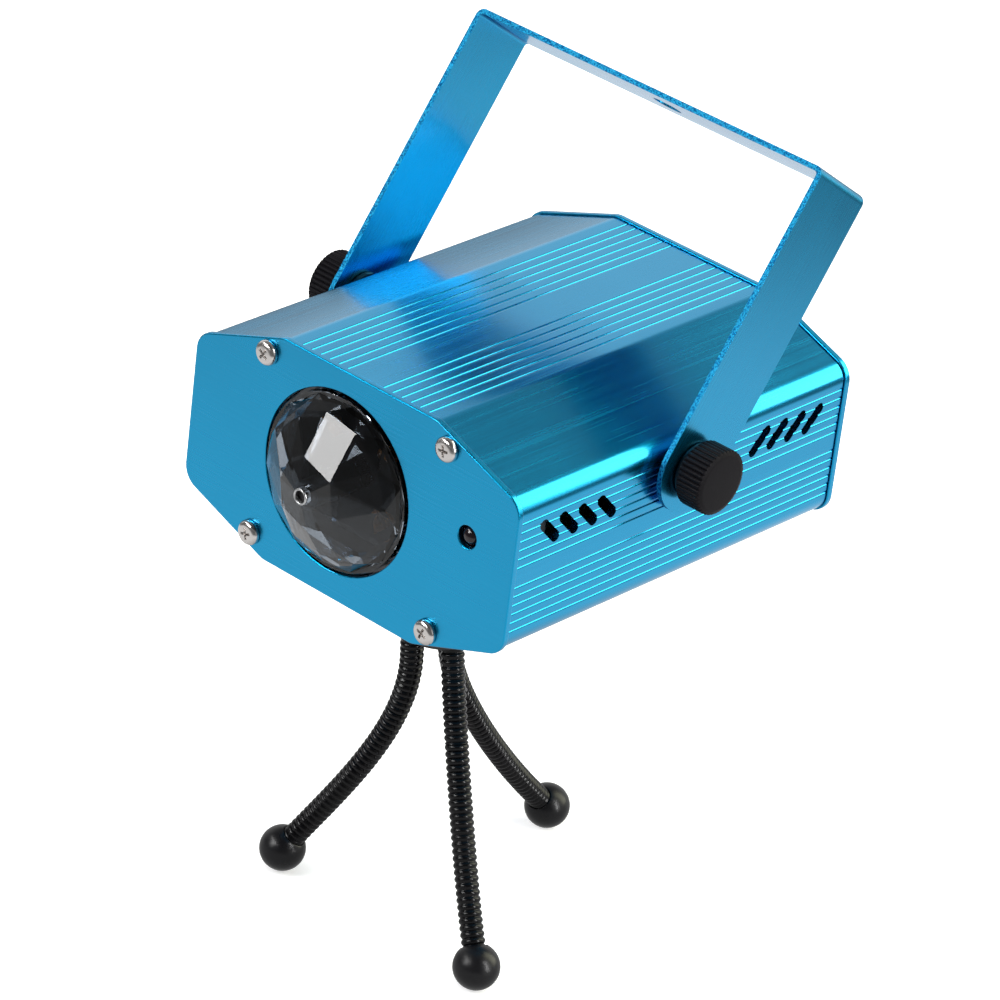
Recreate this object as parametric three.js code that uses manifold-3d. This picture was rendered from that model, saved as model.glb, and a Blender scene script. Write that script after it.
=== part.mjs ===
// Water wave effect light: an aluminium box with a turning faceted lens, a tilting yoke
// and a small stand with three flexible legs.
// Millimetres, +Z up. The lens looks along -Y, the feet stand on Z = 0, and the origin is
// in the middle of the space that the part takes up on the surface.

import * as THREE from 'three';
import { mergeVertices } from 'three/addons/utils/BufferGeometryUtils.js';
import { ConvexGeometry } from 'three/addons/geometries/ConvexGeometry.js';
import Module from 'manifold-3d';

const wasm = await Module();
wasm.setup();

// Clearances
const seatGap = 0.3;
const runningGap = 0.1;
const threadGap = 0.1;

// Housing, an eight-sided extrusion with ribs along it
const housingWidth = 92;
const housingHeight = 51.5;
const housingLength = 101.4;
const topFlatShare = 0.474;
const sideFlatShare = 0.6563;
const housingCornerRadius = 4.5;
const housingWall = 2;
const grooveWidth = 1.1;
const grooveFloorWidth = 0.6;
const grooveDepth = 0.55;
const topGrooveStart = 5.1;
const topGrooveEdge = 3.7;
const topGroovesPerGroup = 6;
const sideGrooveStart = 2.3;
const sideGrooveEdge = 4.35;
const sideGroovesPerGroup = 6;

// Vents in both side walls, two leaning groups
const ventCount = 4;
const ventPitch = 5.8;
const ventFromEnd = 9;
const ventLength = 8;
const ventWidth = 2;
const ventBelowEdge = 8.8;
const ventLean = 45;

// End plates and their screws
const plateThickness = 1.5;
const plateOverhang = 0.5;
const screwBesideFlat = 4;
const screwHeightShare = 0.8291;
const screwShankRadius = 1.4;
const screwShankLength = 8;
const screwHeadRadius = 2.8;
const screwHeadHeight = 1.6;
const screwRecessWidth = 0.75;
const screwRecessSpan = 3.2;
const screwRecessDepth = 0.9;
const screwChannelWall = 1.1;

// Faceted lens dome, offset to one side of the front plate
const lensX = -3.4;
const lensZ = 0.5;
const lensToPlateEdge = 5.25;
const domeEdgeGap = 0.7;
const domeFacetInset = 0.4;
const domeHeightShare = 0.5206;
const domeMiddleRingShare = 0.8763;
const domeInnerRingShare = 0.4278;
const domeTipRadius = 2;
const domeTipRingHeight = 0.4;
const domeTipRingWall = 0.55;
const domeInnerRingCount = 6;
const domeTurn = 41;
const domeWall = 2.1;
const domeSkirtDepth = 5;
const domeFlangeWidth = 1.9;
const domeFlangeThickness = 1;
const domePostWall = 1.5;

// Turning drive behind the lens
const driveShaftRadius = 1.5;
const driveShaftInPost = 7;
const gearboxAboveBoard = 1.5;
const gearboxLength = 6;
const motorStep = 2;
const motorLength = 15;
const motorEndRadius = 3;
const motorEndLength = 2;
const gearboxBearingDepth = 3;

// Lamp carrier, lamp board and its light emitters
const carrierThickness = 3;
const carrierBehindPlate = 7.5;
const lampBoardInset = 2.1;
const lampBoardThickness = 1.6;
const lampBoardHoleRadius = 3.4;
const emitterRadius = 2.4;
const emitterBaseHeight = 0.8;
const emitterHeight = 2.3;
const emitterCircleShare = 0.598;
const emitterCount = 4;

// Remote control receiver beside the lens
const receiverFromSide = 12.5;
const receiverZ = 4.4;
const receiverRadius = 2.2;
const receiverHoleRadius = 2.5;
const receiverBodyWidth = 6.5;
const receiverBodyHeight = 7.5;
const receiverBodyDepth = 4.5;

// Control board in slots along the housing
const boardThickness = 1.6;
const boardAboveHousing = 12.65;
const boardFromFront = 14.7;
const boardBeforeFan = 2.7;
const boardBesideFan = 6.5;
const boardGuideDepth = 2;
const boardGuideThickness = 1.2;
const capacitorRadius = 4;
const capacitorHeight = 9;
const capacitorShare = 0.5;
const capacitorY = 4;
const chipWidth = 9;
const chipLength = 13;
const chipHeight = 2;
const chipShare = -0.41;
const chipY = 8;

// Power inlet and mode button on the rear plate
const inletShare = 0.4343;
const inletNoseRadius = 3.9;
const inletBoreRadius = 2.8;
const inletBoreDepth = 9;
const inletPinRadius = 0.6;
const inletBodyWidth = 9;
const inletBodyHeight = 10.5;
const inletBodyDepth = 13;
const buttonShare = 0.7733;
const buttonRadius = 3;
const buttonFlangeWidth = 0.9;
const buttonFlangeThickness = 1.4;
const buttonStandOut = 1;
const buttonTravel = 0.8;
const buttonStemRadius = 1.3;
const buttonStemInSwitch = 1.2;
const switchWidth = 7;
const switchHeight = 8.4;
const switchDepth = 6;

// Cooling fan behind the rear plate
const fanFromSide = 7.5;
const fanSizeShare = 1.0355;
const fanDepth = 10;
const fanWall = 0.9;
const fanCornerRadius = 3;
const fanScrewInset = 3;
const fanHubShare = 0.452;
const fanBladeCount = 7;
const fanBladeTipGap = 0.7;
const fanBladeThickness = 1;
const fanBladeChord = 8;
const fanBladeAngle = 38;
const fanStrutWidth = 2.4;
const fanStrutThickness = 1.8;
const fanAxleRadius = 1;
const fanRotorDepth = 6.5;
const grilleFirstRadius = 4.5;
const grilleSlotShare = 0.605;
const grilleEdge = 0.9;
const grilleRings = 3;
const grilleSpokeWidth = 2.4;
const fanScrewHeadRadius = 2.5;
const fanScrewHeadHeight = 1.2;
const fanScrewShankRadius = 1.4;
const fanScrewShankLength = 7;

// Yoke, one bent strip that pivots on both side walls
const pivotY = -1.2;
const pivotBelowEdge = 6.1;
const yokeTilt = 34.4;
const yokeThickness = 1.2;
const yokeWidth = 19.6;
const yokeReach = 67;
const yokeBendRadius = 2;
const barHoleRadius = 3.35;

// Clamp knobs and what they screw into
const studRadius = 2.5;
const studEngagement = 6;
const studInKnob = 4.5;
const knobRadius = 7.3;
const knobLength = 6.6;
const knobChamfer = 0.7;
const knurlCount = 40;
const knurlDepth = 0.4;
const clampWasherRadius = 6;
const clampWasherThickness = 0.9;
const sideInsertRadius = 3.8;
const sideInsertLength = 7;
const sideInsertFlangeWidth = 1.8;
const sideInsertFlangeThickness = 1;

// Stand head under the housing
const standX = 0.8;
const standY = -19;
const standScrewRadius = 3.1;
const standScrewInHead = 8;
const baseInsertRadius = 4.6;
const baseInsertLength = 6;
const baseInsertFlangeWidth = 1.7;
const baseInsertFlangeThickness = 0.8;
const padRadius = 9;
const padThickness = 1.6;
const headRadius = 9;
const headHeight = 16.4;
const headPlateHeight = 2.6;
const headGrooveDepth = 1;
const headGrooveHeight = 1.6;
const headChamfer = 0.5;

// Flexible legs, each in its own upright plane
const legCircle = 5.5;
const legPhase = -12;
const legPivotDrop = 1.2;
const legDrop = 60.55;
const legRadius = 2.65;
const legRibDepth = 0.42;
const legRibPitch = 1.5;
const legBoreRadius = 1.1;
const legBallRadius = 2.6;
const legCupGap = 0.4;
const legBendCupGap = 0.35;
const legSides = 8;
const footRadius = 5.2;
const footSocketDepth = 2.6;

// heading is the compass angle of the leg's plane, reach how far out its foot stands, and the
// four last values shape its bend: the angle and length of each end's pull. Reach and pulls are
// shares of legDrop.
const legs = [
  { name: 'front', heading: -26, reach: 0.5434, leave: 21, leavePull: 0.243, arrive: 37, arrivePull: 0.363 },
  { name: 'rear', heading: 88, reach: 0.6656, leave: 10, leavePull: 0.31, arrive: 45, arrivePull: 0.424 },
  { name: 'left', heading: -151, reach: 0.3865, leave: -4, leavePull: 0.37, arrive: 32, arrivePull: 0.396 },
];

// Sizes, levels and planes that follow from the sizes above
const topFlatWidth = housingWidth * topFlatShare;
const sideFlatHeight = housingHeight * sideFlatShare;
const topGroovePitch = (topFlatWidth / 2 - topGrooveStart - topGrooveEdge) / (topGroovesPerGroup - 1);
const sideGroovePitch = (sideFlatHeight / 2 - sideGrooveStart - sideGrooveEdge) / (sideGroovesPerGroup - 1);
const ventFirst = housingLength / 2 - ventFromEnd - (ventCount - 1) * ventPitch;
const ventHeight = sideFlatHeight / 2 - ventBelowEdge;
const pivotZ = sideFlatHeight / 2 - pivotBelowEdge;
const screwSpacingX = topFlatWidth + 2 * screwBesideFlat;
const screwSpacingZ = housingHeight * screwHeightShare;
const housingFront = -housingLength / 2;
const housingRear = housingLength / 2;
const frontPlateRear = housingFront - seatGap;
const frontPlateFront = frontPlateRear - plateThickness;
const rearPlateFront = housingRear + seatGap;
const rearPlateRear = rearPlateFront + plateThickness;
const housingUnderside = -housingHeight / 2;
const padTop = housingUnderside - seatGap;
const headTop = padTop - padThickness - seatGap;
const headBottom = headTop - headHeight;
const legPivotZ = headBottom - legPivotDrop;
const footZ = legPivotZ - legDrop;
const floorZ = footZ - footRadius;
const lensOpeningRadius = housingHeight / 2 - lensToPlateEdge;
const domeBaseRadius = lensOpeningRadius - domeEdgeGap;
const domeFacetRadius = domeBaseRadius - domeFacetInset;
const domeHeight = domeFacetRadius * domeHeightShare;
const carrierFront = frontPlateRear + carrierBehindPlate;
const lampBoardRear = carrierFront - seatGap;
const lampBoardFront = lampBoardRear - lampBoardThickness;
const lampBoardRadius = lensOpeningRadius - lampBoardInset;
const emitterCircle = lampBoardRadius * emitterCircleShare;
const receiverX = housingWidth / 2 - receiverFromSide;
const boardUnderside = housingHeight / 2 - boardAboveHousing;
const boardTop = -boardUnderside + boardThickness;
const partsOnBoard = boardTop + seatGap;
const gearboxRadius = -boardTop - gearboxAboveBoard;
const motorRadius = gearboxRadius - motorStep;
const fanSize = sideFlatHeight * fanSizeShare;
const fanX = -housingWidth / 2 + fanFromSide + fanSize / 2;
const fanRear = rearPlateFront - seatGap;
const fanFront = fanRear - fanDepth;
const fanBoreRadius = fanSize / 2 - fanWall;
const fanHubRadius = fanBoreRadius * fanHubShare;
const fanScrewSpacing = fanSize - 2 * fanScrewInset;
const grilleReach = fanBoreRadius - grilleEdge - grilleFirstRadius;
const grilleRingPitch = grilleReach / (grilleRings - 1 + grilleSlotShare);
const grilleSlotWidth = grilleRingPitch * grilleSlotShare;
const boardEdge = housingWidth / 2 - housingWall - seatGap;
const boardFront = housingFront + boardFromFront;
const boardMiddleEdge = fanFront - boardBeforeFan;
const besideFan = fanX + fanSize / 2;
const boardSplitX = besideFan + boardBesideFan;
const inletX = besideFan + (boardEdge - besideFan) * inletShare;
const buttonX = besideFan + (boardEdge - besideFan) * buttonShare;
const yokeInnerWidth = housingWidth + 2 * (sideInsertFlangeThickness + 2 * seatGap);
const yokeOuterHalf = yokeInnerWidth / 2 + yokeThickness;

// Colours
const blueAnodised = { color: 0x1f86bd, roughness: 0.38, metalness: 0.85 };
const blackPlastic = { color: 0x141416, roughness: 0.55, metalness: 0 };
const blackRubber = { color: 0x0d0d0e, roughness: 0.8, metalness: 0 };
const zincSteel = { color: 0xc4c6c8, roughness: 0.3, metalness: 0.9 };
const brassMetal = { color: 0xb08d4a, roughness: 0.35, metalness: 0.9 };
const bareAluminium = { color: 0xa9adb1, roughness: 0.4, metalness: 0.85 };
const clearAcrylic = { color: 0xdfe6ea, roughness: 0.05, metalness: 0 };
const greenBoard = { color: 0x1d5a38, roughness: 0.5, metalness: 0.1 };
const darkBoard = { color: 0x18191b, roughness: 0.5, metalness: 0 };
const yellowEmitter = { color: 0xe9c64a, roughness: 0.35, metalness: 0 };
const darkGlass = { color: 0x120d12, roughness: 0.15, metalness: 0 };

const part = new THREE.Group();

const radians = THREE.MathUtils.degToRad;

// Closed geometry to solid, with its shared vertices merged
function solidOf(geometry) {
  const bare = geometry.clone();
  bare.deleteAttribute('normal');
  bare.deleteAttribute('uv');
  const merged = mergeVertices(bare, 1e-4);
  const corners = merged.index.array;
  const kept = [];
  for (let i = 0; i < corners.length; i += 3) {
    const [a, b, c] = [corners[i], corners[i + 1], corners[i + 2]];
    if (a !== b && b !== c && c !== a) kept.push(a, b, c);
  }
  return new wasm.Manifold(new wasm.Mesh({
    numProp: 3,
    vertProperties: new Float32Array(merged.attributes.position.array),
    triVerts: new Uint32Array(kept),
  }));
}

function geometryOf(solid) {
  const mesh = solid.getMesh();
  const geometry = new THREE.BufferGeometry();
  geometry.setAttribute('position', new THREE.BufferAttribute(new Float32Array(mesh.vertProperties), 3));
  geometry.setIndex(new THREE.BufferAttribute(new Uint32Array(mesh.triVerts), 1));
  geometry.computeVertexNormals();
  return geometry;
}

function add(name, solid, finish, group = part) {
  const material = new THREE.MeshStandardMaterial({ ...finish, flatShading: true });
  const mesh = new THREE.Mesh(geometryOf(solid), material);
  mesh.name = name;
  group.add(mesh);
  return mesh;
}

function union(solids) {
  return solids.reduce((whole, solid) => whole.add(solid));
}

// Outline in a plane across an axis, drawn out along it. Outline points are (x, z) across Y,
// (y, z) across X and (x, y) across Z.
function prism(axis, outline, from, to, holes = []) {
  const shape = new THREE.Shape(outline.map(([a, b]) => new THREE.Vector2(a, b)));
  for (const hole of holes) {
    shape.holes.push(new THREE.Path(hole.map(([a, b]) => new THREE.Vector2(a, b))));
  }
  const geometry = new THREE.ExtrudeGeometry(shape, { depth: to - from, bevelEnabled: false });
  if (axis === 'z') geometry.translate(0, 0, from);
  if (axis === 'y') geometry.rotateX(Math.PI / 2).translate(0, to, 0);
  if (axis === 'x') {
    geometry.applyMatrix4(new THREE.Matrix4().set(0, 0, 1, 0, 1, 0, 0, 0, 0, 1, 0, 0, 0, 0, 0, 1));
    geometry.translate(from, 0, 0);
  }
  return solidOf(geometry);
}

// Profile of (radius, distance) points turned round an axis through (a, b) of the other two
function turned(axis, profile, a, b, sides) {
  const points = profile.map(([radius, along]) => new THREE.Vector2(radius, along));
  const geometry = new THREE.LatheGeometry(points, sides);
  if (axis === 'x') geometry.rotateZ(-Math.PI / 2).translate(0, a, b);
  if (axis === 'y') geometry.translate(a, 0, b);
  if (axis === 'z') geometry.rotateX(Math.PI / 2).translate(a, b, 0);
  return solidOf(geometry);
}

function rod(axis, radius, from, to, a, b, sides = 24) {
  return turned(axis, [[0, from], [radius, from], [radius, to], [0, to]], a, b, sides);
}

function ringRod(axis, outer, inner, from, to, a, b, sides = 20) {
  const profile = [[inner, from], [outer, from], [outer, to], [inner, to], [inner, from]];
  return turned(axis, profile, a, b, sides);
}

function block(x0, x1, y0, y1, z0, z1) {
  const geometry = new THREE.BoxGeometry(x1 - x0, y1 - y0, z1 - z0);
  geometry.translate((x0 + x1) / 2, (y0 + y1) / 2, (z0 + z1) / 2);
  return solidOf(geometry);
}

function ball(radius, x, y, z, sides = 16) {
  const geometry = new THREE.SphereGeometry(radius, sides, Math.round(sides * 0.7));
  return solidOf(geometry.translate(x, y, z));
}

function circle(a, b, radius, sides = 24) {
  return Array.from({ length: sides }, (_, i) => {
    const angle = (2 * Math.PI * i) / sides;
    return [a + radius * Math.cos(angle), b + radius * Math.sin(angle)];
  });
}

// Corners of the eight-sided section, anticlockwise from the lower right of the side wall
function sectionCorners() {
  const x = housingWidth / 2;
  const z = housingHeight / 2;
  const topX = topFlatWidth / 2;
  const sideZ = sideFlatHeight / 2;
  return [
    [x, -sideZ], [x, sideZ], [topX, z], [-topX, z],
    [-x, sideZ], [-x, -sideZ], [-topX, -z], [topX, -z],
  ];
}

// The same corners moved inward by a distance, or outward by a negative one
function insetCorners(corners, distance) {
  return corners.map(([x, z], i) => {
    const [px, pz] = corners.at(i - 1);
    const [nx, nz] = corners[(i + 1) % corners.length];
    const before = new THREE.Vector2(x - px, z - pz).normalize();
    const after = new THREE.Vector2(nx - x, nz - z).normalize();
    const share = distance / (1 + before.dot(after));
    return [x - (before.y + after.y) * share, z + (before.x + after.x) * share];
  });
}

// Rounded outline through the corners. grooves[i] holds the groove middles on the flat that
// follows corner i, measured from the middle of that flat.
function sectionOutline(corners, radius, grooves = {}) {
  const outline = [];
  const arcSteps = 3;
  corners.forEach(([x, z], i) => {
    const [px, pz] = corners.at(i - 1);
    const [nx, nz] = corners[(i + 1) % corners.length];
    const before = new THREE.Vector2(x - px, z - pz).normalize();
    const after = new THREE.Vector2(nx - x, nz - z).normalize();
    const turn = Math.acos(before.dot(after));
    const reach = radius * Math.tan(turn / 2);
    const centreX = x - before.x * reach - before.y * radius;
    const centreZ = z - before.y * reach + before.x * radius;
    const start = Math.atan2(-before.x, before.y);
    for (let k = 0; k <= arcSteps; k += 1) {
      const angle = start + (turn * k) / arcSteps;
      outline.push([centreX + radius * Math.cos(angle), centreZ + radius * Math.sin(angle)]);
    }
    const onFlat = (along, depth) => [
      (x + nx) / 2 + after.x * along - after.y * depth,
      (z + nz) / 2 + after.y * along + after.x * depth,
    ];
    for (const middle of grooves[i] ?? []) {
      outline.push(onFlat(middle - grooveWidth / 2, 0));
      outline.push(onFlat(middle - grooveFloorWidth / 2, grooveDepth));
      outline.push(onFlat(middle + grooveFloorWidth / 2, grooveDepth));
      outline.push(onFlat(middle + grooveWidth / 2, 0));
    }
  });
  return outline;
}

// Two groups of grooves, one each side of the middle of a flat
function groovePair(start, pitch, count) {
  const right = Array.from({ length: count }, (_, i) => start + i * pitch);
  return [...right.map((middle) => -middle).reverse(), ...right];
}

function screwPlaces() {
  const places = [];
  for (const sideX of [-1, 1]) {
    for (const sideZ of [-1, 1]) {
      places.push([(sideX * screwSpacingX) / 2, (sideZ * screwSpacingZ) / 2]);
    }
  }
  return places;
}

// Leaning slot through a side wall, its corners square to its own length
function ventOutline(middleY, lean) {
  const along = new THREE.Vector2(Math.cos(lean), Math.sin(lean)).multiplyScalar(ventLength / 2);
  const across = new THREE.Vector2(-Math.sin(lean), Math.cos(lean)).multiplyScalar(ventWidth / 2);
  return [[-1, -1], [1, -1], [1, 1], [-1, 1]].map(([a, b]) => [
    middleY + a * along.x + b * across.x,
    ventHeight + a * along.y + b * across.y,
  ]);
}

function boardGuides(extra) {
  const inner = housingWidth / 2 - housingWall;
  const guides = [];
  for (const side of [-1, 1]) {
    const xs = [side * (inner - boardGuideDepth - extra), side * (inner + housingWall / 2)];
    const x0 = Math.min(...xs);
    const x1 = Math.max(...xs);
    const upper = boardTop + seatGap;
    const lower = -boardUnderside - seatGap;
    for (const z of [upper, lower - boardGuideThickness]) {
      const top = z + boardGuideThickness + extra;
      guides.push(block(x0, x1, housingFront, housingRear, z - extra, top));
    }
  }
  return guides;
}

function makeHousing() {
  const corners = sectionCorners();
  const topGrooves = groovePair(topGrooveStart, topGroovePitch, topGroovesPerGroup);
  const sideGrooves = groovePair(sideGrooveStart, sideGroovePitch, sideGroovesPerGroup);
  const grooves = { 0: sideGrooves, 2: topGrooves, 4: sideGrooves, 6: topGrooves };
  const outerOutline = sectionOutline(corners, housingCornerRadius, grooves);
  const outer = prism('y', outerOutline, housingFront, housingRear);
  const innerCorners = insetCorners(corners, housingWall);
  const innerOutline = sectionOutline(innerCorners, housingCornerRadius - housingWall);
  let housing = outer.subtract(prism('y', innerOutline, housingFront - 1, housingRear + 1));
  for (const [x, z] of screwPlaces()) {
    const channelRadius = screwShankRadius + threadGap + screwChannelWall;
    housing = housing.add(rod('y', channelRadius, housingFront, housingRear, x, z, 12).intersect(outer));
  }
  housing = union([housing, ...boardGuides(0)]);
  for (const [x, z] of screwPlaces()) {
    const bore = screwShankRadius + threadGap;
    housing = housing.subtract(rod('y', bore, housingFront - 1, housingRear + 1, x, z, 12));
  }
  for (let i = 0; i < ventCount; i += 1) {
    for (const end of [-1, 1]) {
      const middleY = end * (ventFirst + i * ventPitch);
      const outline = ventOutline(middleY, radians(end * ventLean));
      housing = housing.subtract(prism('x', outline, -housingWidth, housingWidth));
    }
  }
  const sideHole = sideInsertRadius + threadGap;
  housing = housing.subtract(rod('x', sideHole, -housingWidth, housingWidth, pivotY, pivotZ, 20));
  const baseHole = baseInsertRadius + threadGap;
  const baseWallTop = housingUnderside + housingWall;
  const baseCut = rod('z', baseHole, housingUnderside - 1, baseWallTop + 1, standX, standY, 18);
  housing = housing.subtract(baseCut);
  add('housing_extrusion', housing, blueAnodised);
}

function plateOutline() {
  const corners = insetCorners(sectionCorners(), -plateOverhang);
  return sectionOutline(corners, housingCornerRadius + plateOverhang);
}

function plateScrewHoles() {
  return screwPlaces().map(([x, z]) => circle(x, z, screwShankRadius + seatGap, 12));
}

function makeFrontPlate() {
  const holes = [
    circle(lensX, lensZ, lensOpeningRadius, 44),
    circle(receiverX, receiverZ, receiverHoleRadius, 20),
    ...plateScrewHoles(),
  ];
  add('front_plate', prism('y', plateOutline(), frontPlateFront, frontPlateRear, holes), blueAnodised);
}

// One opening of the fan grille, a part of a ring between two spokes
function grilleSlot(innerRadius, quarter) {
  const steps = 3;
  const outerRadius = innerRadius + grilleSlotWidth;
  const outline = [];
  for (const [radius, forward] of [[outerRadius, true], [innerRadius, false]]) {
    const spoke = Math.asin(grilleSpokeWidth / 2 / radius);
    for (let k = 0; k <= steps; k += 1) {
      const share = forward ? k / steps : 1 - k / steps;
      const angle = (quarter * Math.PI) / 2 + spoke + (Math.PI / 2 - 2 * spoke) * share;
      outline.push([fanX + radius * Math.cos(angle), radius * Math.sin(angle)]);
    }
  }
  return outline;
}

function fanScrewPlaces() {
  const half = fanScrewSpacing / 2;
  return [[-half, -half], [half, -half], [half, half], [-half, half]].map(([x, z]) => [fanX + x, z]);
}

function makeRearPlate() {
  const inletZ = partsOnBoard + inletBodyHeight / 2;
  const buttonZ = partsOnBoard + switchHeight / 2;
  const holes = [
    circle(inletX, inletZ, inletNoseRadius + runningGap + seatGap, 24),
    circle(buttonX, buttonZ, buttonRadius + seatGap, 20),
    ...fanScrewPlaces().map(([x, z]) => circle(x, z, fanScrewShankRadius + seatGap, 10)),
    ...plateScrewHoles(),
  ];
  for (let ring = 0; ring < grilleRings; ring += 1) {
    for (let quarter = 0; quarter < 4; quarter += 1) {
      holes.push(grilleSlot(grilleFirstRadius + ring * grilleRingPitch, quarter));
    }
  }
  add('rear_plate', prism('y', plateOutline(), rearPlateFront, rearPlateRear, holes), blueAnodised);
}

// Pan-head screw with a cross recess, its shank pointing into the housing
function panHeadScrew(x, z, plateFace, outward) {
  const seat = plateFace + outward * runningGap;
  const tip = plateFace - outward * screwShankLength;
  const top = seat + outward * screwHeadHeight;
  const shoulder = seat + outward * screwHeadHeight * 0.45;
  const profile = [[0, tip], [screwShankRadius, tip], [screwShankRadius, seat], [screwHeadRadius, seat],
    [screwHeadRadius, shoulder], [screwHeadRadius * 0.72, top], [0, top]];
  if (outward < 0) profile.reverse();
  const screw = turned('y', profile, x, z, 12);
  const floor = top - outward * screwRecessDepth;
  const y0 = Math.min(floor, top + outward);
  const y1 = Math.max(floor, top + outward);
  const half = screwRecessWidth / 2;
  const span = screwRecessSpan / 2;
  const cross = block(x - half, x + half, y0, y1, z - span, z + span)
    .add(block(x - span, x + span, y0, y1, z - half, z + half));
  return screw.subtract(cross);
}

function makePlateScrews() {
  screwPlaces().forEach(([x, z], i) => {
    add(`front_screw_${i + 1}`, panHeadScrew(x, z, frontPlateFront, -1), zincSteel);
    add(`rear_screw_${i + 1}`, panHeadScrew(x, z, rearPlateRear, 1), zincSteel);
  });
}

// Corners of the dome's facets, all on one sphere, so their convex hull is the faceted cap
function domeCap(baseY) {
  const sphere = (domeFacetRadius ** 2 + domeHeight ** 2) / (2 * domeHeight);
  const points = [];
  const addRing = (radius, count, turn, depth) => {
    for (let i = 0; i < count; i += 1) {
      const angle = radians(turn) + (2 * Math.PI * i) / count;
      points.push(new THREE.Vector3(
        lensX + radius * Math.cos(angle), baseY + depth, lensZ + radius * Math.sin(angle)));
    }
  };
  const rise = (radius) => -(Math.sqrt(sphere ** 2 - radius ** 2) - (sphere - domeHeight));
  const step = 360 / domeInnerRingCount;
  addRing(domeTipRadius, domeInnerRingCount, domeTurn, rise(domeTipRadius));
  const innerRing = domeFacetRadius * domeInnerRingShare;
  const middleRing = domeFacetRadius * domeMiddleRingShare;
  addRing(innerRing, domeInnerRingCount, domeTurn, rise(innerRing));
  addRing(middleRing, 2 * domeInnerRingCount, domeTurn - step / 12, rise(middleRing));
  addRing(domeFacetRadius, 2 * domeInnerRingCount, domeTurn + step / 6, 0);
  addRing(domeFacetRadius, 2 * domeInnerRingCount, domeTurn + step / 6, 0.8);
  return solidOf(new ConvexGeometry(points));
}

function domeInside(baseY, skirtRear) {
  const radius = domeBaseRadius - domeWall;
  const height = domeHeight - domeWall;
  const sphere = (radius ** 2 + height ** 2) / (2 * height);
  const profile = [[0, skirtRear + 1], [radius, skirtRear + 1]];
  const steps = 5;
  for (let k = 0; k <= steps; k += 1) {
    const r = radius * (1 - k / steps);
    profile.push([r, baseY - (Math.sqrt(sphere ** 2 - r ** 2) - (sphere - height))]);
  }
  return turned('y', profile.reverse(), lensX, lensZ, 20);
}

function makeDome() {
  const baseY = frontPlateFront - 0.3;
  const skirtRear = baseY + domeSkirtDepth;
  const tipY = baseY - domeHeight;
  const flangeFront = frontPlateRear + seatGap;
  const postRadius = driveShaftRadius + runningGap + domePostWall;
  let dome = domeCap(baseY).add(rod('y', domeBaseRadius, baseY, skirtRear, lensX, lensZ, 28));
  const flangeRadius = domeBaseRadius + domeFlangeWidth;
  const flangeRear = flangeFront + domeFlangeThickness;
  dome = dome.add(rod('y', flangeRadius, flangeFront, flangeRear, lensX, lensZ, 28));
  dome = dome.subtract(domeInside(baseY, skirtRear));
  dome = dome.add(rod('y', postRadius, tipY + domeWall / 2, skirtRear - 1, lensX, lensZ, 12));
  const ringInner = domeTipRadius - domeTipRingWall;
  const ringFront = tipY - domeTipRingHeight;
  const ringRear = tipY + domeWall / 2;
  dome = dome.add(ringRod('y', domeTipRadius, ringInner, ringFront, ringRear, lensX, lensZ, 12));
  const bore = driveShaftRadius + runningGap;
  const boreFront = skirtRear - 1 - driveShaftInPost - seatGap;
  dome = dome.subtract(rod('y', bore, boreFront, skirtRear, lensX, lensZ, 12));
  add('lens_dome', dome, clearAcrylic);
}

function makeDrive() {
  const postEnd = frontPlateFront - 0.3 + domeSkirtDepth - 1;
  const carrierRear = carrierFront + carrierThickness;
  const gearboxFront = carrierRear + seatGap;
  const bearingEnd = gearboxFront + gearboxBearingDepth;
  const shaftFront = postEnd - driveShaftInPost;
  const shaft = rod('y', driveShaftRadius, shaftFront, bearingEnd - seatGap, lensX, lensZ, 16);
  add('drive_shaft', shaft, zincSteel);
  const gearboxRear = gearboxFront + gearboxLength;
  const motorRear = gearboxRear + motorLength;
  const endRear = motorRear + motorEndLength;
  const profile = [[0, gearboxFront], [gearboxRadius, gearboxFront], [gearboxRadius, gearboxRear],
    [motorRadius, gearboxRear], [motorRadius, motorRear], [motorEndRadius, motorRear],
    [motorEndRadius, endRear], [0, endRear]];
  const bearing = rod('y', driveShaftRadius + runningGap, gearboxFront - 1, bearingEnd, lensX, lensZ, 16);
  const motor = turned('y', profile, lensX, lensZ, 18).subtract(bearing);
  add('gear_motor', motor, bareAluminium);
}

// Plate across the housing that holds the lamp board in front and the drive behind
function makeLampCarrier() {
  const corners = insetCorners(sectionCorners(), housingWall + seatGap);
  const outline = sectionOutline(corners, housingCornerRadius - housingWall);
  const carrierRear = carrierFront + carrierThickness;
  const shaftHole = circle(lensX, lensZ, driveShaftRadius + seatGap, 16);
  let carrier = prism('y', outline, carrierFront, carrierRear, [shaftHole]);
  for (const [x, z] of screwPlaces()) {
    const notch = screwShankRadius + threadGap + screwChannelWall + seatGap;
    carrier = carrier.subtract(rod('y', notch, carrierFront - 1, carrierRear + 1, x, z, 12));
  }
  for (const guide of boardGuides(seatGap)) carrier = carrier.subtract(guide);
  add('lamp_carrier', carrier, bareAluminium);
}

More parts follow.
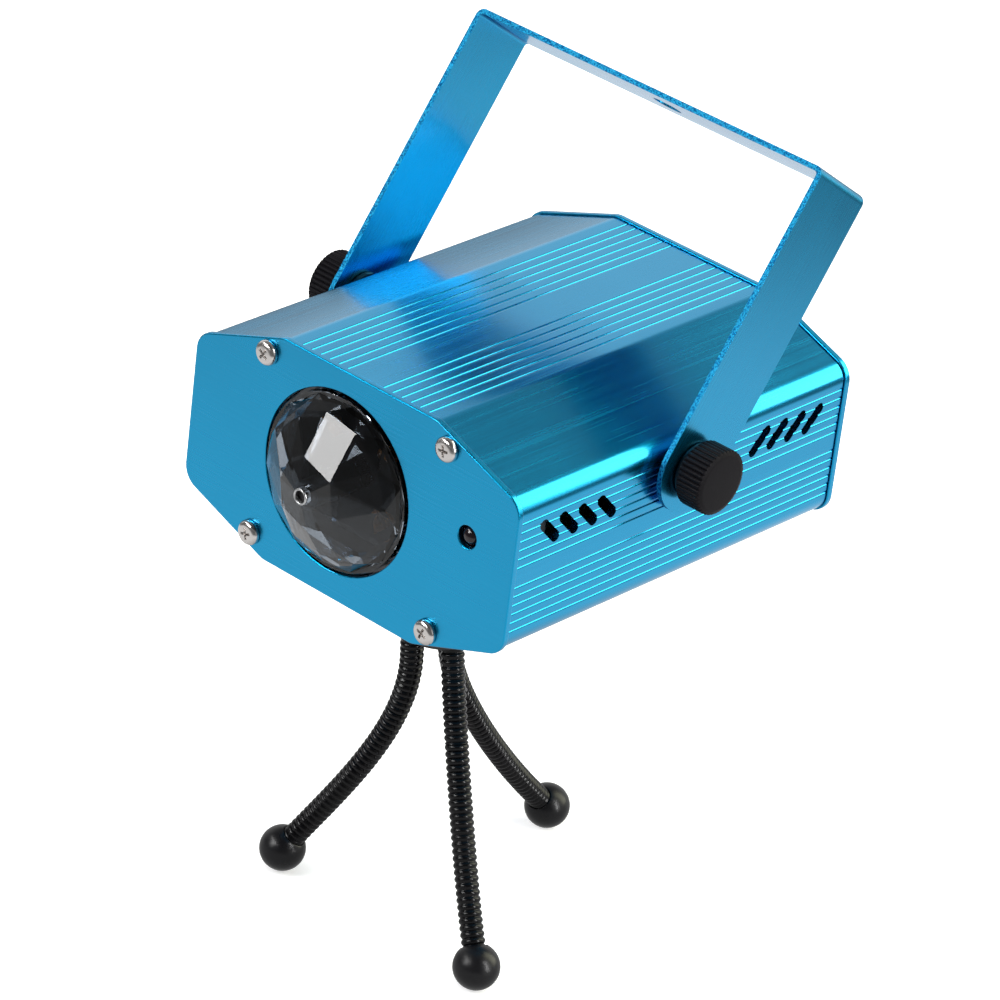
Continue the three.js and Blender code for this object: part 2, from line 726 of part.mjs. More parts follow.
function makeLampBoard() {
  const outline = circle(lensX, lensZ, lampBoardRadius, 28);
  const hole = circle(lensX, lensZ, lampBoardHoleRadius, 16);
  add('lamp_board', prism('y', outline, lampBoardFront, lampBoardRear, [hole]), darkBoard);
  for (let i = 0; i < emitterCount; i += 1) {
    const angle = radians(45) + (2 * Math.PI * i) / emitterCount;
    const x = lensX + emitterCircle * Math.cos(angle);
    const z = lensZ + emitterCircle * Math.sin(angle);
    const seat = lampBoardFront - seatGap;
    const base = seat - emitterBaseHeight;
    const profile = [[0, seat - emitterHeight], [emitterRadius * 0.45, seat - emitterHeight * 0.92],
      [emitterRadius * 0.8, seat - emitterHeight * 0.65], [emitterRadius * 0.85, base],
      [emitterRadius, base], [emitterRadius, seat], [0, seat]];
    add(`light_emitter_${i + 1}`, turned('y', profile, x, z, 12), yellowEmitter);
  }
}

function makeReceiver() {
  const bodyFront = frontPlateRear + seatGap;
  const nose = frontPlateFront - 0.1;
  const halfX = receiverBodyWidth / 2;
  const halfZ = receiverBodyHeight / 2;
  const body = block(receiverX - halfX, receiverX + halfX, bodyFront, bodyFront + receiverBodyDepth,
    receiverZ - halfZ, receiverZ + halfZ);
  const profile = [[0, nose], [receiverRadius * 0.6, nose + 0.35], [receiverRadius * 0.95, nose + 1.1],
    [receiverRadius, bodyFront + 0.5], [0, bodyFront + 0.5]];
  add('remote_receiver', body.add(turned('y', profile, receiverX, receiverZ, 16)), darkGlass);
}

function makeControlBoard() {
  const rear = fanRear;
  const outline = [[-boardEdge, boardFront], [boardEdge, boardFront], [boardEdge, rear],
    [boardSplitX, rear], [boardSplitX, boardMiddleEdge], [-boardEdge, boardMiddleEdge]];
  add('control_board', prism('z', outline, -boardUnderside, boardTop), greenBoard);
  const capacitorTop = partsOnBoard + capacitorHeight;
  const capacitorX = boardEdge * capacitorShare;
  const capacitor = rod('z', capacitorRadius, partsOnBoard, capacitorTop, capacitorX, capacitorY, 16);
  add('board_capacitor', capacitor, blackPlastic);
  const chipX = boardEdge * chipShare;
  const chip = block(chipX - chipWidth / 2, chipX + chipWidth / 2, chipY - chipLength / 2,
    chipY + chipLength / 2, partsOnBoard, partsOnBoard + chipHeight);
  add('board_chip', chip, blackPlastic);
}

function makePowerInlet() {
  const half = inletBodyWidth / 2;
  const bodyRear = rearPlateFront - seatGap;
  const z = partsOnBoard + inletBodyHeight / 2;
  let inlet = block(inletX - half, inletX + half, bodyRear - inletBodyDepth, bodyRear,
    partsOnBoard, partsOnBoard + inletBodyHeight);
  inlet = inlet.add(rod('y', inletNoseRadius, bodyRear - 1, rearPlateRear, inletX, z, 20));
  const boreEnd = rearPlateRear - inletBoreDepth;
  inlet = inlet.subtract(rod('y', inletBoreRadius, boreEnd, rearPlateRear + 1, inletX, z, 16));
  inlet = inlet.add(rod('y', inletPinRadius, boreEnd - 0.5, rearPlateRear - 1, inletX, z, 8));
  add('power_inlet', inlet, blackPlastic);
}

function makeModeButton() {
  const z = partsOnBoard + switchHeight / 2;
  const flangeRear = rearPlateFront - seatGap;
  const flangeFront = flangeRear - buttonFlangeThickness;
  const switchRear = flangeFront - buttonTravel - seatGap;
  const stemFront = switchRear - buttonStemInSwitch;
  const capRear = rearPlateRear + buttonStandOut;
  const flangeRadius = buttonRadius + buttonFlangeWidth;
  const profile = [[0, stemFront], [buttonStemRadius, stemFront], [buttonStemRadius, flangeFront],
    [flangeRadius, flangeFront], [flangeRadius, flangeRear], [buttonRadius, flangeRear],
    [buttonRadius, capRear - 0.5], [buttonRadius - 0.5, capRear], [0, capRear]];
  add('mode_button', turned('y', profile, buttonX, z, 16), blackPlastic);
  const half = switchWidth / 2;
  let body = block(buttonX - half, buttonX + half, switchRear - switchDepth, switchRear,
    partsOnBoard, partsOnBoard + switchHeight);
  const pocket = buttonStemRadius + seatGap;
  const pocketFront = stemFront - buttonTravel - seatGap;
  body = body.subtract(rod('y', pocket, pocketFront, switchRear + 1, buttonX, z, 12));
  add('button_switch', body, blackPlastic);
}

function makeFan() {
  const half = fanSize / 2;
  const corner = half - fanCornerRadius;
  const outline = [];
  [[1, 1], [-1, 1], [-1, -1], [1, -1]].forEach(([sx, sz], i) => {
    for (let k = 0; k <= 3; k += 1) {
      const angle = (Math.PI / 2) * (i + k / 3);
      const x = fanX + sx * corner + fanCornerRadius * Math.cos(angle);
      outline.push([x, sz * corner + fanCornerRadius * Math.sin(angle)]);
    }
  });
  const screwHoles = fanScrewPlaces().map(([x, z]) => circle(x, z, fanScrewShankRadius + threadGap, 10));
  const bore = circle(fanX, 0, fanBoreRadius, 28);
  let frame = prism('y', outline, fanFront, fanRear, [bore, ...screwHoles]);
  const strutRear = fanFront + fanStrutThickness;
  const strutHalf = fanStrutWidth / 2;
  const overlap = fanBoreRadius + 0.5;
  frame = frame.add(rod('y', fanHubRadius, fanFront, strutRear, fanX, 0, 20));
  frame = frame.add(block(fanX - overlap, fanX + overlap, fanFront, strutRear, -strutHalf, strutHalf));
  frame = frame.add(block(fanX - strutHalf, fanX + strutHalf, fanFront, strutRear, -overlap, overlap));
  frame = frame.subtract(rod('y', fanAxleRadius + runningGap, fanFront - 1, strutRear + 1, fanX, 0, 12));
  add('fan_frame', frame, blackPlastic);

  const rotorFront = strutRear + seatGap;
  const rotorRear = rotorFront + fanRotorDepth;
  const tipRadius = fanBoreRadius - fanBladeTipGap;
  let rotor = rod('y', fanHubRadius, rotorFront, rotorRear, fanX, 0, 20);
  const bladeMiddle = (rotorFront + rotorRear) / 2;
  const bladeInner = fanHubRadius - 1;
  for (let i = 0; i < fanBladeCount; i += 1) {
    const blade = new THREE.BoxGeometry(tipRadius + 1 - bladeInner, fanBladeThickness, fanBladeChord);
    blade.rotateX(radians(90 - fanBladeAngle));
    blade.translate((tipRadius + 1 + bladeInner) / 2, bladeMiddle, 0);
    blade.rotateY((2 * Math.PI * i) / fanBladeCount).translate(fanX, 0, 0);
    rotor = rotor.add(solidOf(blade));
  }
  rotor = rotor.intersect(rod('y', tipRadius, rotorFront, rotorRear, fanX, 0, 28));
  rotor = rotor.add(rod('y', fanAxleRadius, fanFront, rotorFront + 1, fanX, 0, 12));
  add('fan_rotor', rotor, blackPlastic);

  fanScrewPlaces().forEach(([x, z], i) => {
    const seat = rearPlateRear + runningGap;
    const top = seat + fanScrewHeadHeight;
    const tip = seat - fanScrewShankLength;
    const profile = [[0, tip], [fanScrewShankRadius, tip], [fanScrewShankRadius, seat],
      [fanScrewHeadRadius, seat], [fanScrewHeadRadius * 0.8, top], [0, top]];
    add(`fan_screw_${i + 1}`, turned('y', profile, x, z, 10), zincSteel);
  });
}

// U-shaped strip in its own upright frame, with its pivot at the origin
function makeYoke() {
  const yoke = new THREE.Group();
  yoke.position.set(0, pivotY, pivotZ);
  yoke.rotation.x = -radians(yokeTilt);
  const outline = [];
  const walk = (half, top, radius, side) => {
    const steps = 4;
    for (let k = 0; k <= steps; k += 1) {
      const angle = (Math.PI / 2) * (k / steps);
      const x = half - radius + radius * Math.cos(angle);
      outline.push([side * x, top - radius + radius * Math.sin(angle)]);
    }
  };
  const bottom = -yokeWidth / 2;
  outline.push([yokeOuterHalf, bottom]);
  walk(yokeOuterHalf, yokeReach, yokeBendRadius, 1);
  const left = [[-yokeOuterHalf, bottom]];
  const right = outline.splice(0);
  walk(yokeOuterHalf, yokeReach, yokeBendRadius, -1);
  const outerLeft = outline.splice(0).reverse();
  walk(yokeInnerWidth / 2, yokeReach - yokeThickness, yokeBendRadius - yokeThickness, 1);
  const innerRight = outline.splice(0).reverse();
  walk(yokeInnerWidth / 2, yokeReach - yokeThickness, yokeBendRadius - yokeThickness, -1);
  const innerLeft = outline.splice(0);
  const strip = [...right, ...outerLeft, ...left, [-yokeInnerWidth / 2, bottom], ...innerLeft,
    ...innerRight, [yokeInnerWidth / 2, bottom]];
  const band = prism('y', strip, -yokeWidth / 2, yokeWidth / 2);
  const side = [[yokeWidth / 2, yokeReach + 1], [-yokeWidth / 2, yokeReach + 1]];
  for (let k = 0; k <= 12; k += 1) {
    const angle = Math.PI + (Math.PI * k) / 12;
    side.push([(yokeWidth / 2) * Math.cos(angle), (yokeWidth / 2) * Math.sin(angle)]);
  }
  const pivotHole = studRadius + runningGap;
  const solid = band
    .intersect(prism('x', side, -yokeOuterHalf - 1, yokeOuterHalf + 1))
    .subtract(rod('x', pivotHole, -yokeOuterHalf - 1, yokeOuterHalf + 1, 0, 0, 20))
    .subtract(rod('z', barHoleRadius, yokeReach - yokeThickness - 1, yokeReach + 1, 0, 0, 24));
  add('yoke_bracket', solid, blueAnodised, yoke);
  part.add(yoke);
}

// Knurled knob whose stud screws into an insert in the side wall
function makeClamp(side, label) {
  const armOuter = yokeOuterHalf;
  const washerInner = armOuter + seatGap;
  const washerOuter = washerInner + clampWasherThickness;
  const knobInner = washerOuter + seatGap;
  const knobOuter = knobInner + knobLength;
  const wallOuter = housingWidth / 2;
  const flangeOuter = wallOuter + seatGap + sideInsertFlangeThickness;
  const insertInner = flangeOuter - sideInsertLength;
  const along = (from, to) => (side > 0 ? [from, to] : [-to, -from]);
  const x = (value) => side * value;

  const [i0, i1] = along(insertInner, flangeOuter);
  const [f0, f1] = along(wallOuter + seatGap, flangeOuter);
  const flangeRadius = sideInsertRadius + sideInsertFlangeWidth;
  const insert = rod('x', sideInsertRadius, i0, i1, pivotY, pivotZ, 16)
    .add(rod('x', flangeRadius, f0, f1, pivotY, pivotZ, 16))
    .subtract(rod('x', studRadius + threadGap, i0 - 1, i1 + 1, pivotY, pivotZ, 12));
  add(`side_insert_${label}`, insert, brassMetal);

  const [w0, w1] = along(washerInner, washerOuter);
  const washer = ringRod('x', clampWasherRadius, studRadius + runningGap, w0, w1, pivotY, pivotZ, 20);
  add(`clamp_washer_${label}`, washer, zincSteel);

  const teeth = [];
  for (let i = 0; i < knurlCount * 2; i += 1) {
    const radius = knobRadius - (i % 2 ? knurlDepth : 0);
    const angle = (Math.PI * i) / knurlCount;
    teeth.push([pivotY + radius * Math.cos(angle), pivotZ + radius * Math.sin(angle)]);
  }
  const [k0, k1] = along(knobInner, knobOuter);
  const profile = [[0, knobInner], [knobRadius + 1, knobInner],
    [knobRadius + 1, knobOuter - knobChamfer - 1], [knobRadius - knobChamfer, knobOuter],
    [0, knobOuter]].map(([r, a]) => [r, x(a)]);
  if (side < 0) profile.reverse();
  const [b0, b1] = along(knobInner - 1, knobInner + studInKnob + seatGap);
  const knob = prism('x', teeth, k0, k1)
    .intersect(turned('x', profile, pivotY, pivotZ, 20))
    .subtract(rod('x', studRadius + threadGap, b0, b1, pivotY, pivotZ, 16));
  add(`clamp_knob_${label}`, knob, blackPlastic);

  const [s0, s1] = along(flangeOuter - studEngagement, knobInner + studInKnob);
  add(`clamp_stud_${label}`, rod('x', studRadius, s0, s1, pivotY, pivotZ, 12), zincSteel);
}

function makeStandHead() {
  const flangeBottom = housingUnderside - seatGap - baseInsertFlangeThickness;
  const insertTop = flangeBottom + baseInsertLength;
  const flangeRadius = baseInsertRadius + baseInsertFlangeWidth;
  const flangeTop = housingUnderside - seatGap;
  const screwHole = standScrewRadius + threadGap;
  const insert = rod('z', baseInsertRadius, flangeBottom, insertTop, standX, standY, 18)
    .add(rod('z', flangeRadius, flangeBottom, flangeTop, standX, standY, 18))
    .subtract(rod('z', screwHole, flangeBottom - 1, insertTop + 1, standX, standY, 16));
  add('base_insert', insert, brassMetal);

  const padHole = flangeRadius + seatGap;
  const pad = ringRod('z', padRadius, padHole, padTop - padThickness, padTop, standX, standY, 28);
  add('stand_pad', pad, blackRubber);

  const screwBottom = headTop - standScrewInHead;
  const screw = rod('z', standScrewRadius, screwBottom, insertTop, standX, standY, 16);
  add('stand_screw', screw, zincSteel);

  const plateBottom = headTop - headPlateHeight;
  const grooveBottom = plateBottom - headGrooveHeight;
  const waist = headRadius - headGrooveDepth;
  const profile = [[0, headBottom], [headRadius - headChamfer, headBottom],
    [headRadius, headBottom + headChamfer], [headRadius, grooveBottom], [waist, grooveBottom],
    [waist, plateBottom], [headRadius, plateBottom], [headRadius, headTop], [0, headTop]];
  let head = turned('z', profile, standX, standY, 28);
  head = head.subtract(rod('z', screwHole, screwBottom - seatGap, headTop + 1, standX, standY, 16));
  for (const place of legPlaces()) {
    head = head.subtract(ball(legBallRadius + legCupGap, place.x, place.y, legPivotZ, 12));
  }
  add('stand_head', head, blackPlastic);
}

function legPlaces() {
  return legs.map((leg, i) => {
    const angle = radians(legPhase + 120 * i);
    return { x: standX + legCircle * Math.cos(angle), y: standY + legCircle * Math.sin(angle) };
  });
}

// Bend of a leg in its upright plane: X outward, Z up, from its pivot to the middle of its foot.
// Both of its ends run straight for one hose diameter.
function legCurve(leg) {
  const foot = new THREE.Vector3(leg.reach * legDrop, 0, -legDrop);
  const leaving = new THREE.Vector3(Math.sin(radians(leg.leave)), 0, -Math.cos(radians(leg.leave)));
  const arriving = new THREE.Vector3(Math.sin(radians(leg.arrive)), 0, -Math.cos(radians(leg.arrive)));
  const straight = legRadius * 2;
  const bendStart = leaving.clone().multiplyScalar(straight);
  const bendEnd = foot.clone().addScaledVector(arriving, -straight);
  const curve = new THREE.CurvePath();
  curve.add(new THREE.LineCurve3(new THREE.Vector3(), bendStart));
  curve.add(new THREE.CubicBezierCurve3(
    bendStart,
    leaving.clone().multiplyScalar(leg.leavePull * legDrop),
    foot.clone().addScaledVector(arriving, -leg.arrivePull * legDrop),
    bendEnd,
  ));
  curve.add(new THREE.LineCurve3(bendEnd, foot));
  return curve;
}

// Closed skin through rings of points, between two single end points
function skin(tip, rings, end) {
  const sides = rings[0].length;
  const points = [tip, ...rings.flat(), end].flatMap((point) => point.toArray());
  const last = 1 + rings.length * sides;
  const at = (ring, k) => 1 + ring * sides + (k % sides);
  const corners = [];
  for (let k = 0; k < sides; k += 1) {
    corners.push(0, at(0, k + 1), at(0, k));
    for (let ring = 0; ring + 1 < rings.length; ring += 1) {
      corners.push(at(ring, k), at(ring, k + 1), at(ring + 1, k));
      corners.push(at(ring, k + 1), at(ring + 1, k + 1), at(ring + 1, k));
    }
    corners.push(at(rings.length - 1, k), at(rings.length - 1, k + 1), last);
  }
  const geometry = new THREE.BufferGeometry();
  geometry.setAttribute('position', new THREE.Float32BufferAttribute(points, 3));
  geometry.setIndex(corners);
  return solidOf(geometry);
}

// Ribbed hose between two distances along a curve. It starts in a ball and has a blind bore
// from its far end, which is a cup for the next ball where cupped is true.
function ribbedHose(curve, from, to, cupped) {
  const length = curve.getLength();
  const across = new THREE.Vector3(0, 1, 0);
  // A ring at a distance, moved on along the tangent there by an offset
  const ring = (distance, radius, offset = 0) => {
    const tangent = curve.getTangentAt(distance / length);
    const centre = curve.getPointAt(distance / length).addScaledVector(tangent, offset);
    const second = new THREE.Vector3().crossVectors(tangent, across);
    return Array.from({ length: legSides }, (_, k) => {
      const angle = (2 * Math.PI * k) / legSides;
      return centre.clone()
        .addScaledVector(across, radius * Math.cos(angle))
        .addScaledVector(second, radius * Math.sin(angle));
    });
  };
  const middleOf = (points) => points[0].clone().add(points[legSides / 2]).multiplyScalar(0.5);
  const onSphere = (radius, degrees) => {
    const angle = radians(degrees);
    return [radius * Math.sin(angle), -radius * Math.cos(angle)];
  };

  const rings = [];
  for (const degrees of [30, 60, 90]) {
    const [radius, offset] = onSphere(legBallRadius, degrees);
    rings.push(ring(from, radius, offset));
  }
  const valley = legRadius - legRibDepth;
  const cupRadius = legBallRadius + legBendCupGap;
  const cupDepth = cupped ? Math.sqrt(cupRadius ** 2 - legRadius ** 2) : 0;
  const start = from + Math.sqrt(legBallRadius ** 2 - valley ** 2);
  const end = to - cupDepth;
  const ribs = Math.round((end - start) / legRibPitch);
  const pitch = (end - start) / ribs;
  for (let i = 0; i < ribs; i += 1) {
    rings.push(ring(start + i * pitch, valley));
    rings.push(ring(start + (i + 0.5) * pitch, legRadius));
  }
  if (cupped) {
    const rim = THREE.MathUtils.radToDeg(Math.asin(legRadius / cupRadius));
    const bore = THREE.MathUtils.radToDeg(Math.asin(legBoreRadius / cupRadius));
    for (const degrees of [rim, (rim + bore) / 2, bore]) {
      const [radius, offset] = onSphere(cupRadius, degrees);
      rings.push(ring(to, radius, offset));
    }
  } else {
    rings.push(ring(end, valley));
    rings.push(ring(end, legBoreRadius));
  }
  for (let i = ribs - 4; i > 0; i -= 5) rings.push(ring(start + i * pitch, legBoreRadius));
  rings.push(ring(start, legBoreRadius));
  return skin(middleOf(ring(from, 1, -legBallRadius)), rings, middleOf(ring(start, 1)));
}

// Ball foot with a socket for the end of its leg, its middle at the origin and its socket up
function footBall() {
  const socketRadius = legRadius + seatGap;
  const socketFloor = footRadius - footSocketDepth;
  const rimAngle = Math.acos(Math.sqrt(footRadius ** 2 - socketRadius ** 2) / footRadius);
  const profile = [];
  const steps = 9;
  for (let k = 0; k <= steps; k += 1) {
    const angle = Math.PI + ((rimAngle - Math.PI) * k) / steps;
    profile.push([k ? footRadius * Math.sin(angle) : 0, footRadius * Math.cos(angle)]);
  }
  profile.push([socketRadius, socketFloor], [0, socketFloor]);
  const points = profile.map(([radius, along]) => new THREE.Vector2(radius, along));
  return new THREE.LatheGeometry(points, 14);
}

function makeLeg(leg, place) {
  const group = new THREE.Group();
  group.position.set(place.x, place.y, legPivotZ);
  group.rotation.z = radians(leg.heading);
  const curve = legCurve(leg);
  const length = curve.getLength();
  const middle = length / 2;
  const hoseEnd = length - (footRadius - footSocketDepth) - seatGap;
  add(`leg_${leg.name}_upper`, ribbedHose(curve, 0, middle, true), blackRubber, group);
  add(`leg_${leg.name}_lower`, ribbedHose(curve, middle, hoseEnd, false), blackRubber, group);

  const upright = new THREE.Vector3(0, 1, 0);
  const turn = new THREE.Quaternion().setFromUnitVectors(upright, curve.getTangentAt(1).negate());
  const foot = footBall().applyQuaternion(turn).translate(leg.reach * legDrop, 0, -legDrop);
  add(`foot_${leg.name}`, solidOf(foot), blackPlastic, group);
  part.add(group);
}

makeHousing();
makeFrontPlate();
makeRearPlate();
makePlateScrews();
makeDome();
makeDrive();
makeLampCarrier();
makeLampBoard();
makeReceiver();
makeControlBoard();
makePowerInlet();
makeModeButton();
makeFan();
makeYoke();
makeClamp(1, 'right');
makeClamp(-1, 'left');
makeStandHead();
legPlaces().forEach((place, i) => makeLeg(legs[i], place));

// Stand the part on Z = 0 and put the origin in the middle of its length and width
part.updateMatrixWorld(true);
const box = new THREE.Box3().setFromObject(part, true);
for (const piece of part.children) {
  piece.position.y -= (box.min.y + box.max.y) / 2;
  piece.position.z -= box.min.z;
}

export default part;
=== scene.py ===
"""Looks of the water wave effect light: a brushed blue aluminium box with a faceted lens,
a tilting yoke and a small stand with three flexible legs. Sizes are in millimetres."""

import math

import bmesh
import bpy
from mathutils import Matrix, Vector


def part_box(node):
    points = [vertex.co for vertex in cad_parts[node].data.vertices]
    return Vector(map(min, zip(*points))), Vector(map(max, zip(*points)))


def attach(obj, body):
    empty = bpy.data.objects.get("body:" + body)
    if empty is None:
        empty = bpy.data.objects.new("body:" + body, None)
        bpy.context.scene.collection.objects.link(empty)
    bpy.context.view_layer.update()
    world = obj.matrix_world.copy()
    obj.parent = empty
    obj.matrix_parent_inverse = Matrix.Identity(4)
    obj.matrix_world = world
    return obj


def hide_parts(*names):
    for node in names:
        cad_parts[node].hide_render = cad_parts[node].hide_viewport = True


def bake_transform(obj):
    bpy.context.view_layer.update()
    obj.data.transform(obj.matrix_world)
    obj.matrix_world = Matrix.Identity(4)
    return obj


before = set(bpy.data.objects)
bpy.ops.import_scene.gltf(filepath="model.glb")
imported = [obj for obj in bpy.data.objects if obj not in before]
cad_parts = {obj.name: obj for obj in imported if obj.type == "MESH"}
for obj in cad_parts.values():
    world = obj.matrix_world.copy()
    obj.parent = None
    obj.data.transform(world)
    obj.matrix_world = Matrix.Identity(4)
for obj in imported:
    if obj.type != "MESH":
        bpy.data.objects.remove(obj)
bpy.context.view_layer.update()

MM = 0.001


def box_of(node):
    low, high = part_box(node)
    return low / MM, high / MM


def middle_of(node):
    low, high = box_of(node)
    return (low + high) / 2


MIDDLE = middle_of("housing_extrusion")

# Housing
HOUSING_WIDTH = 92
HOUSING_HEIGHT = 51.5
HOUSING_LENGTH = 101.4
TOP_FLAT = 43.6
SIDE_FLAT = 33.8
CORNER_RADIUS = 4.5
WALL = 2
GROOVE_WIDTH = 0.54
GROOVE_FLOOR = 0.22
GROOVE_DEPTH = 0.16
GROOVE_LIP = 0.15
TOP_GROOVES = [5.1 + 2.6 * i for i in range(6)]
SIDE_GROOVES = [2.3 + 2.05 * i for i in range(6)]
VENTS = [24.3 + 5.8 * i for i in range(4)]
VENT_HEIGHT = 8.1
VENT_LENGTH = 8
VENT_WIDTH = 2.5

# Plates
PLATE_THICKNESS = 1.5
PLATE_OVERHANG = 0.5
PLATE_EDGE = 0.32
SEAT_GAP = 0.3
SCREW_X = 25.8
SCREW_Z = 21.35
PLATE_SCREW = 2.8, 1.6
LENS_X = -3.4
LENS_Z = 0.5
LENS_OPENING = 20.5
RECEIVER_X = 33.5
RECEIVER_Z = 4.4
RECEIVER_HOLE = 2.5
RECEIVER_BODY = 6.5, 7.5, 4.5
WINDOW_RADIUS = 2.28
FRONT_FACE = -HOUSING_LENGTH / 2 - SEAT_GAP - PLATE_THICKNESS
REAR_FACE = -FRONT_FACE

# Rear plate and fan
FAN_X = -21
FAN_BORE = 16.6
FAN_SCREWS = 14.5
FAN_SCREW = 2.5, 1.2
GRILLE_FIRST = 4.5
GRILLE_SLOT = 2.6
GRILLE_PITCH = 4.3
GRILLE_RINGS = 3
GRILLE_SPOKE = 2.4
FAN_BLADES = 7
HUB_RADIUS = 7.5
BLADE_ROOT = 7.1
BLADE_TIP = FAN_BORE - 0.7
INLET_RADIUS = 3.9
INLET_BORE = 2.8
INLET_BODY = 9, 10.5, 10.2
BUTTON_RADIUS = 3
BUTTON_FLANGE = 3.9

# Yoke and knobs
PIVOT = Vector((0, -1.2, 10.8))
PIVOT_HOLE = 2.6
YOKE_TILT = math.radians(34.4)
YOKE_INNER = 95.2
YOKE_THICKNESS = 1.2
YOKE_WIDTH = 19.6
YOKE_REACH = 67
YOKE_BEND = 2
BAR_HOLE = 3.35
KNOB_RADIUS = 7.3
KNOB_START = 50.3
KNOB_LENGTH = 6.6
KNOB_BORE = 2.65
KNURLS = 40
KNURL_DEPTH = 0.5
WASHER_START = 49.1

# Stand
HOSE_RADIUS = 2.65
HOSE_VALLEY = 2.2
HOSE_PITCH = 1.5
FOOT_RADIUS = 5.2
LEGS = {
    "front": dict(heading=-26, reach=32.9, leave=21, pull=14.7, arrive=37, end_pull=22,
                  bend=(14.56, -31.31), tangent=(0.470, -0.883)),
    "rear": dict(heading=88, reach=40.3, leave=10, pull=18.8, arrive=45, end_pull=25.7,
                 bend=(15.88, -32.86), tangent=(0.598, -0.802)),
    "left": dict(heading=-151, reach=23.4, leave=-4, pull=22.4, arrive=32, end_pull=24,
                 bend=(6.39, -32.04), tangent=(0.444, -0.896)),
}
LEG_DROP = 60.55
LEG_PIVOT_Z = -45.55
LEG_CIRCLE = 5.5
LEG_PHASE = -12
LEG_HOLE = 2.8
STAND_X = 0.8
STAND_Y = -19
HEAD_TOP = -27.95
HEAD_HEIGHT = 16.4
HEAD_RADIUS = 9
NECK_RADIUS = 8
NECK = 12.2, 13.8
PAD_INNER = 6.7
PAD_THICKNESS = 1.6

# Lens
LENS_RADIUS = 19.4
LENS_HEIGHT = 10.1
LENS_WALL = 2.1
SKIRT_RADIUS = 19.8
FLANGE_RADIUS = 21.7
EYELET_RADIUS = 1.58
OUTER_FACETS = (2, 6, 41), (8.3, 6, 41), (17, 12, 36)
INNER_FACETS = (2.6, 6, 11), (8, 9, 20), (15, 15, 5)

# Camera
AZIMUTH, ELEVATION, ROLL = (math.radians(a) for a in (39.54, 28.17, 7.17))
DISTANCE = 1137.1
CAMERA_RIGHT = -3.98
CAMERA_UP = -16.61
FOCAL_PIXELS = 5331.7
PHOTO_WIDTH = 1000
SENSOR_WIDTH = 36

WELD = 2e-4


# Meshes and objects


def new_object(name, data):
    obj = bpy.data.objects.new(name, data)
    bpy.context.scene.collection.objects.link(obj)
    return obj


def close_seams(bm):
    """Splits each open edge where the end of another open edge lies on it, and joins the two."""
    for _ in range(3):
        bmesh.ops.remove_doubles(bm, verts=bm.verts, dist=WELD)
        edges = [edge for edge in bm.edges if len(edge.link_faces) == 1]
        ends = {vertex for edge in edges for vertex in edge.verts}
        for edge in edges:
            first, last = edge.verts
            along = last.co - first.co
            for vertex in ends - {first, last}:
                share = (vertex.co - first.co).dot(along) / along.length_squared
                if 0.001 < share < 0.999 and (first.co + along * share - vertex.co).length < 0.002:
                    _, added = bmesh.utils.edge_split(edge, first, share)
                    added.co = vertex.co
                    break
        if not edges:
            break


def from_bmesh(name, bm, clean=True):
    if clean:
        close_seams(bm)
        face_outward(bm)
    mesh = bpy.data.meshes.new(name)
    bm.to_mesh(mesh)
    bm.free()
    return new_object(name, mesh)


def changed(obj, *changes):
    """Runs changes one after another on the object's mesh."""
    bm = bmesh.new()
    bm.from_mesh(obj.data)
    for change in changes:
        change(bm)
    bm.to_mesh(obj.data)
    bm.free()
    return obj


def face_outward(bm):
    bmesh.ops.recalc_face_normals(bm, faces=bm.faces)


def evaluated(obj):
    """The object with its modifiers or curve settings turned into a plain mesh."""
    bpy.context.view_layer.update()
    graph = bpy.context.evaluated_depsgraph_get()
    mesh = bpy.data.meshes.new_from_object(obj.evaluated_get(graph))
    name = obj.name
    matrix = obj.matrix_world.copy()
    bpy.data.objects.remove(obj)
    plain = new_object(name, mesh)
    plain.data.transform(matrix)
    return plain


def drop_slivers(bm):
    bmesh.ops.dissolve_degenerate(bm, edges=bm.edges, dist=1e-4)


def joined_with(obj, other, operation="DIFFERENCE"):
    """Cuts an object with another one, or joins or crosses them. The other one is used up."""
    modifier = obj.modifiers.new("cut", "BOOLEAN")
    modifier.solver = "EXACT"
    modifier.operation = operation
    modifier.object = other
    result = evaluated(obj)
    bpy.data.objects.remove(other)
    return changed(result, drop_slivers, close_seams)


def bevelled(obj, width, segments=2, degrees=35):
    modifier = obj.modifiers.new("edge", "BEVEL")
    modifier.width = width
    modifier.segments = segments
    modifier.limit_method = "ANGLE"
    modifier.angle_limit = math.radians(degrees)
    return evaluated(obj)


def smooth(obj, degrees=32):
    for face in obj.data.polygons:
        face.use_smooth = True
    obj.data.set_sharp_from_angle(angle=math.radians(degrees))


def finish_piece(obj, finish, body, nodes=(), degrees=32, blend=None):
    """Sets a piece built round the housing's middle in its place, with its material and body."""
    obj.data.transform(Matrix.Scale(MM, 4) @ Matrix.Translation(MIDDLE))
    if degrees:
        smooth(obj, degrees)
    if finish:
        obj.data.materials.clear()
        obj.data.materials.append(MATERIALS[finish])
    if blend:
        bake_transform(obj)
    else:
        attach(obj, body)
    if nodes:
        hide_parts(*nodes)
    return obj


def circle(x, y, radius, count=96):
    return [
        (x + radius * math.cos(2 * math.pi * i / count), y + radius * math.sin(2 * math.pi * i / count))
        for i in range(count)
    ]


def rectangle(width, height):
    x, y = width / 2, height / 2
    return [(-x, -y), (x, -y), (x, y), (-x, y)]


